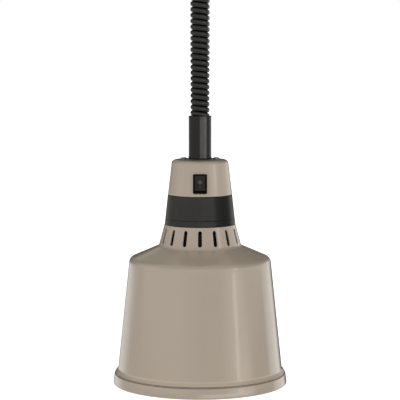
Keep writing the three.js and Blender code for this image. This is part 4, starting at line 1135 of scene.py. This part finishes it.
# What the lamp mirrors has a ring of brightness for each band of directions, from well below the horizon
# upwards. A ring has stops of azimuth, in degrees to the right of the camera's side, and brightness.
LOW_LEFT = [(-180, 0.05), (-168, 0.3), (-158, 1.1), (-132, 1.2), (-120, 0.4), (-90, 0.4), (-5, 0.45)]
LOW_RIGHT = [(80, 0.2), (112, 0.25), (119, 1.3), (145, 1.5), (154, 0.5), (162, 0.05), (180, 0.05)]
MIRROR_RINGS = [
    [*LOW_LEFT, (60, 0.5), (72, 0.5), *LOW_RIGHT],
    [*LOW_LEFT, (4, 2.9), (60, 3.1), (72, 2.4), *LOW_RIGHT],
    [(-180, 0.15), (-150, 0.3), (-135, 0.9), (-122, 0.7), (-112, 0.4), (-90, 0.4), (-5, 0.45), (4, 3.7),
     (60, 3.9), (72, 2.9), (80, 0.2), (112, 0.2), (119, 1.2), (142, 1.2), (150, 0.3), (160, 0.1), (180, 0.1)],
    [(-180, 0.05), (-130, 0.2), (-118, 0.35), (-105, 0.4), (-95, 0.9), (-30, 1.1), (-10, 0.75), (3, 0.4),
     (34, 0.4), (40, 0.8), (52, 1.5), (53.5, 3.45), (57.5, 3.45), (59, 1.5), (66, 1.3), (76, 0.8), (115, 0.9),
     (124, 1.1), (145, 1.3), (160, 0.5), (180, 0.05)],
    [(-180, 0.03), (-130, 0.1), (-100, 0.8), (-30, 1.0), (5, 0.9), (40, 0.7), (66, 0.3), (76, 0.3),
     (100, 0.5), (120, 0.9), (145, 1.3), (160, 0.5), (180, 0.03)],
    [(-180, 0.05), (-130, 0.15), (-100, 0.8), (-30, 0.95), (5, 0.85), (36, 0.8), (46, 1.3), (58, 1.9),
     (60, 3.2), (64, 3.2), (66, 1.4), (74, 1.1), (110, 1.1), (140, 1.0), (155, 0.3), (180, 0.05)],
    [(-180, 0.05), (-175, 0.35), (-169, 0.6), (-163, 0.25), (-150, 0.05), (-130, 0.1), (-100, 0.7),
     (-30, 0.95), (5, 0.85), (36, 0.7), (50, 0.8), (58, 1.2), (60, 3.2), (64, 3.2), (66, 0.9), (74, 0.12),
     (150, 0.08), (180, 0.05)],
]
# Between two rings, the direction's height runs over one of these stretches.
RING_SEAMS = [(-0.1, -0.085), (-0.075, -0.06), (-0.045, -0.02), (0.065, 0.078), (0.096, 0.106), (0.2, 0.35)]


def mirrored_light(tree, azimuth, z):
    """The rings of brightness, blended into plain light overhead and underfoot, and dimmer off level."""
    ramps = [brightness_ramp(tree, azimuth, -180, 180, stops) for stops in MIRROR_RINGS]
    mirrored = ramps[0]
    for ramp, (start, end) in zip(ramps[1:], RING_SEAMS):
        mirrored = blend_colours(tree, remap(tree, z, start, end, 0.0, 1.0), mirrored, ramp)
    upward = brightness_ramp(tree, z, -1, 1, [
        (-1.0, 0.4), (-0.4, 0.8), (0.0, 1.0), (0.4, 1.0), (0.62, 0.6), (0.82, 0.4), (1.0, 0.3)])
    mirrored = blend_colours(tree, remap(tree, z, 0.7, 0.9, 0.0, 1.0), mirrored, (1.8, 1.8, 1.8, 1))
    mirrored = blend_colours(tree, remap(tree, z, -0.4, -0.8, 0.0, 1.0), mirrored, (1.2, 1.2, 1.2, 1))
    return multiply(tree, mirrored, upward)


def scattered_light(tree, azimuth, z):
    """The soft light that the lamp's surfaces scatter, strongest level with the lamp."""
    around = brightness_ramp(tree, azimuth, -180, 180, [
        (-180, 1.0), (-90, 1.12), (-20, 1.1), (40, 1.0), (90, 1.15), (180, 1.1)])
    upward = brightness_ramp(tree, z, -1, 1, [
        (-1.0, 0.7), (-0.3, 0.95), (0.0, 1.1), (0.4, 1.05), (0.8, 0.48), (1.0, 0.32)])
    return multiply(tree, around, upward)


def studio_world():
    """A soft surround with strip lights in what it mirrors, and plain white where the camera sees it."""
    world = bpy.data.worlds.new("studio")
    bpy.context.scene.world = world
    world.use_nodes = True
    tree = world.node_tree
    tree.nodes.clear()
    direction = add_node(tree, "ShaderNodeTexCoord").outputs["Generated"]
    z = add_node(tree, "ShaderNodeSeparateXYZ", {0: direction}).outputs[2]
    azimuth = azimuth_of(tree, direction)
    mirrored = mirrored_light(tree, azimuth, z)
    scattered = scattered_light(tree, azimuth, z)
    path = add_node(tree, "ShaderNodeLightPath")
    warmth = blend_colours(tree, remap(tree, z, 0.2, 0.9, 0.0, 1.0), (1, 1, 1, 1), (1, 0.96, 0.88, 1))
    lit = add_node(tree, "ShaderNodeBackground", {"Color": warmth, "Strength": scattered})
    shine = add_node(tree, "ShaderNodeBackground", {"Color": (1, 0.98, 0.94, 1), "Strength": mirrored})
    mixed = add_node(tree, "ShaderNodeMixShader", {
        0: path.outputs["Is Glossy Ray"], 1: lit.outputs[0], 2: shine.outputs[0]})
    seen = add_node(tree, "ShaderNodeBackground", {"Color": (1, 1, 1, 1), "Strength": 1.0})
    mixed = add_node(tree, "ShaderNodeMixShader", {
        0: path.outputs["Is Camera Ray"], 1: mixed.outputs[0], 2: seen.outputs[0]})
    tree.nodes.active = add_node(tree, "ShaderNodeOutputWorld", {"Surface": mixed.outputs[0]})


def studio_floor():
    """A wide pale floor far below the lamp, open when seen from underneath."""
    corners = [(x * FLOOR_HALF, y * FLOOR_HALF, FLOOR_Z) for x, y in ((-1, -1), (1, -1), (1, 1), (-1, 1))]
    floor = new_object("studio_floor", corners, [], [(0, 1, 2, 3)])
    material = bpy.data.materials.new("pale_floor")
    material.use_nodes = True
    tree = material.node_tree
    shader = tree.nodes["Principled BSDF"]
    shader.inputs["Base Color"].default_value = (0.86, 0.86, 0.86, 1)
    shader.inputs["Roughness"].default_value = 0.9
    shader.inputs["Emission Color"].default_value = (1, 1, 1, 1)
    shader.inputs["Emission Strength"].default_value = 0.7
    clear = add_node(tree, "ShaderNodeBsdfTransparent")
    back = add_node(tree, "ShaderNodeNewGeometry").outputs["Backfacing"]
    mixed = add_node(tree, "ShaderNodeMixShader", {0: back, 1: shader.outputs[0], 2: clear.outputs[0]})
    tree.links.new(mixed.outputs[0], tree.nodes["Material Output"].inputs["Surface"])
    floor.data.materials.append(material)
    floor.visible_glossy = False
    floor.visible_diffuse = False


def studio_camera():
    data = bpy.data.cameras.new("camera")
    camera = bpy.data.objects.new("camera", data)
    bpy.context.scene.collection.objects.link(camera)
    data.sensor_width, data.lens = 36.0, 158.4
    back = Vector((0, -math.cos(CAMERA_PITCH), math.sin(CAMERA_PITCH)))
    camera.location = LOOK_AT + CAMERA_DISTANCE * back
    camera.rotation_euler = (math.pi / 2 - CAMERA_PITCH, 0, 0)
    data.clip_start, data.clip_end = 0.05, 200.0
    bpy.context.scene.camera = camera


# ---- build

shade()
grip_collar()
upper_housing()
top_screws()
switch_body()
switch_rocker()
switch_marks()
cord_sleeve()
coil()
hanging_ropes()
wound_rope()
bulb_envelope()
bulb_cap()
holder_shell()
lamp_holder()
heat_baffle()
bulb_stem()
bulb_insulator()
filament_coil()
canopy()
side_screws()
ball_bushing()
cord_end_in_head()
cord_end_in_canopy()
for finish_name, names in KEPT_FINISHES.items():
    for name in names:
        dress_kept_node(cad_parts[name], finish_name)
studio_world()
studio_floor()
studio_camera()

scene = bpy.context.scene
scene.view_settings.view_transform = "Standard"
scene.view_settings.look = "None"
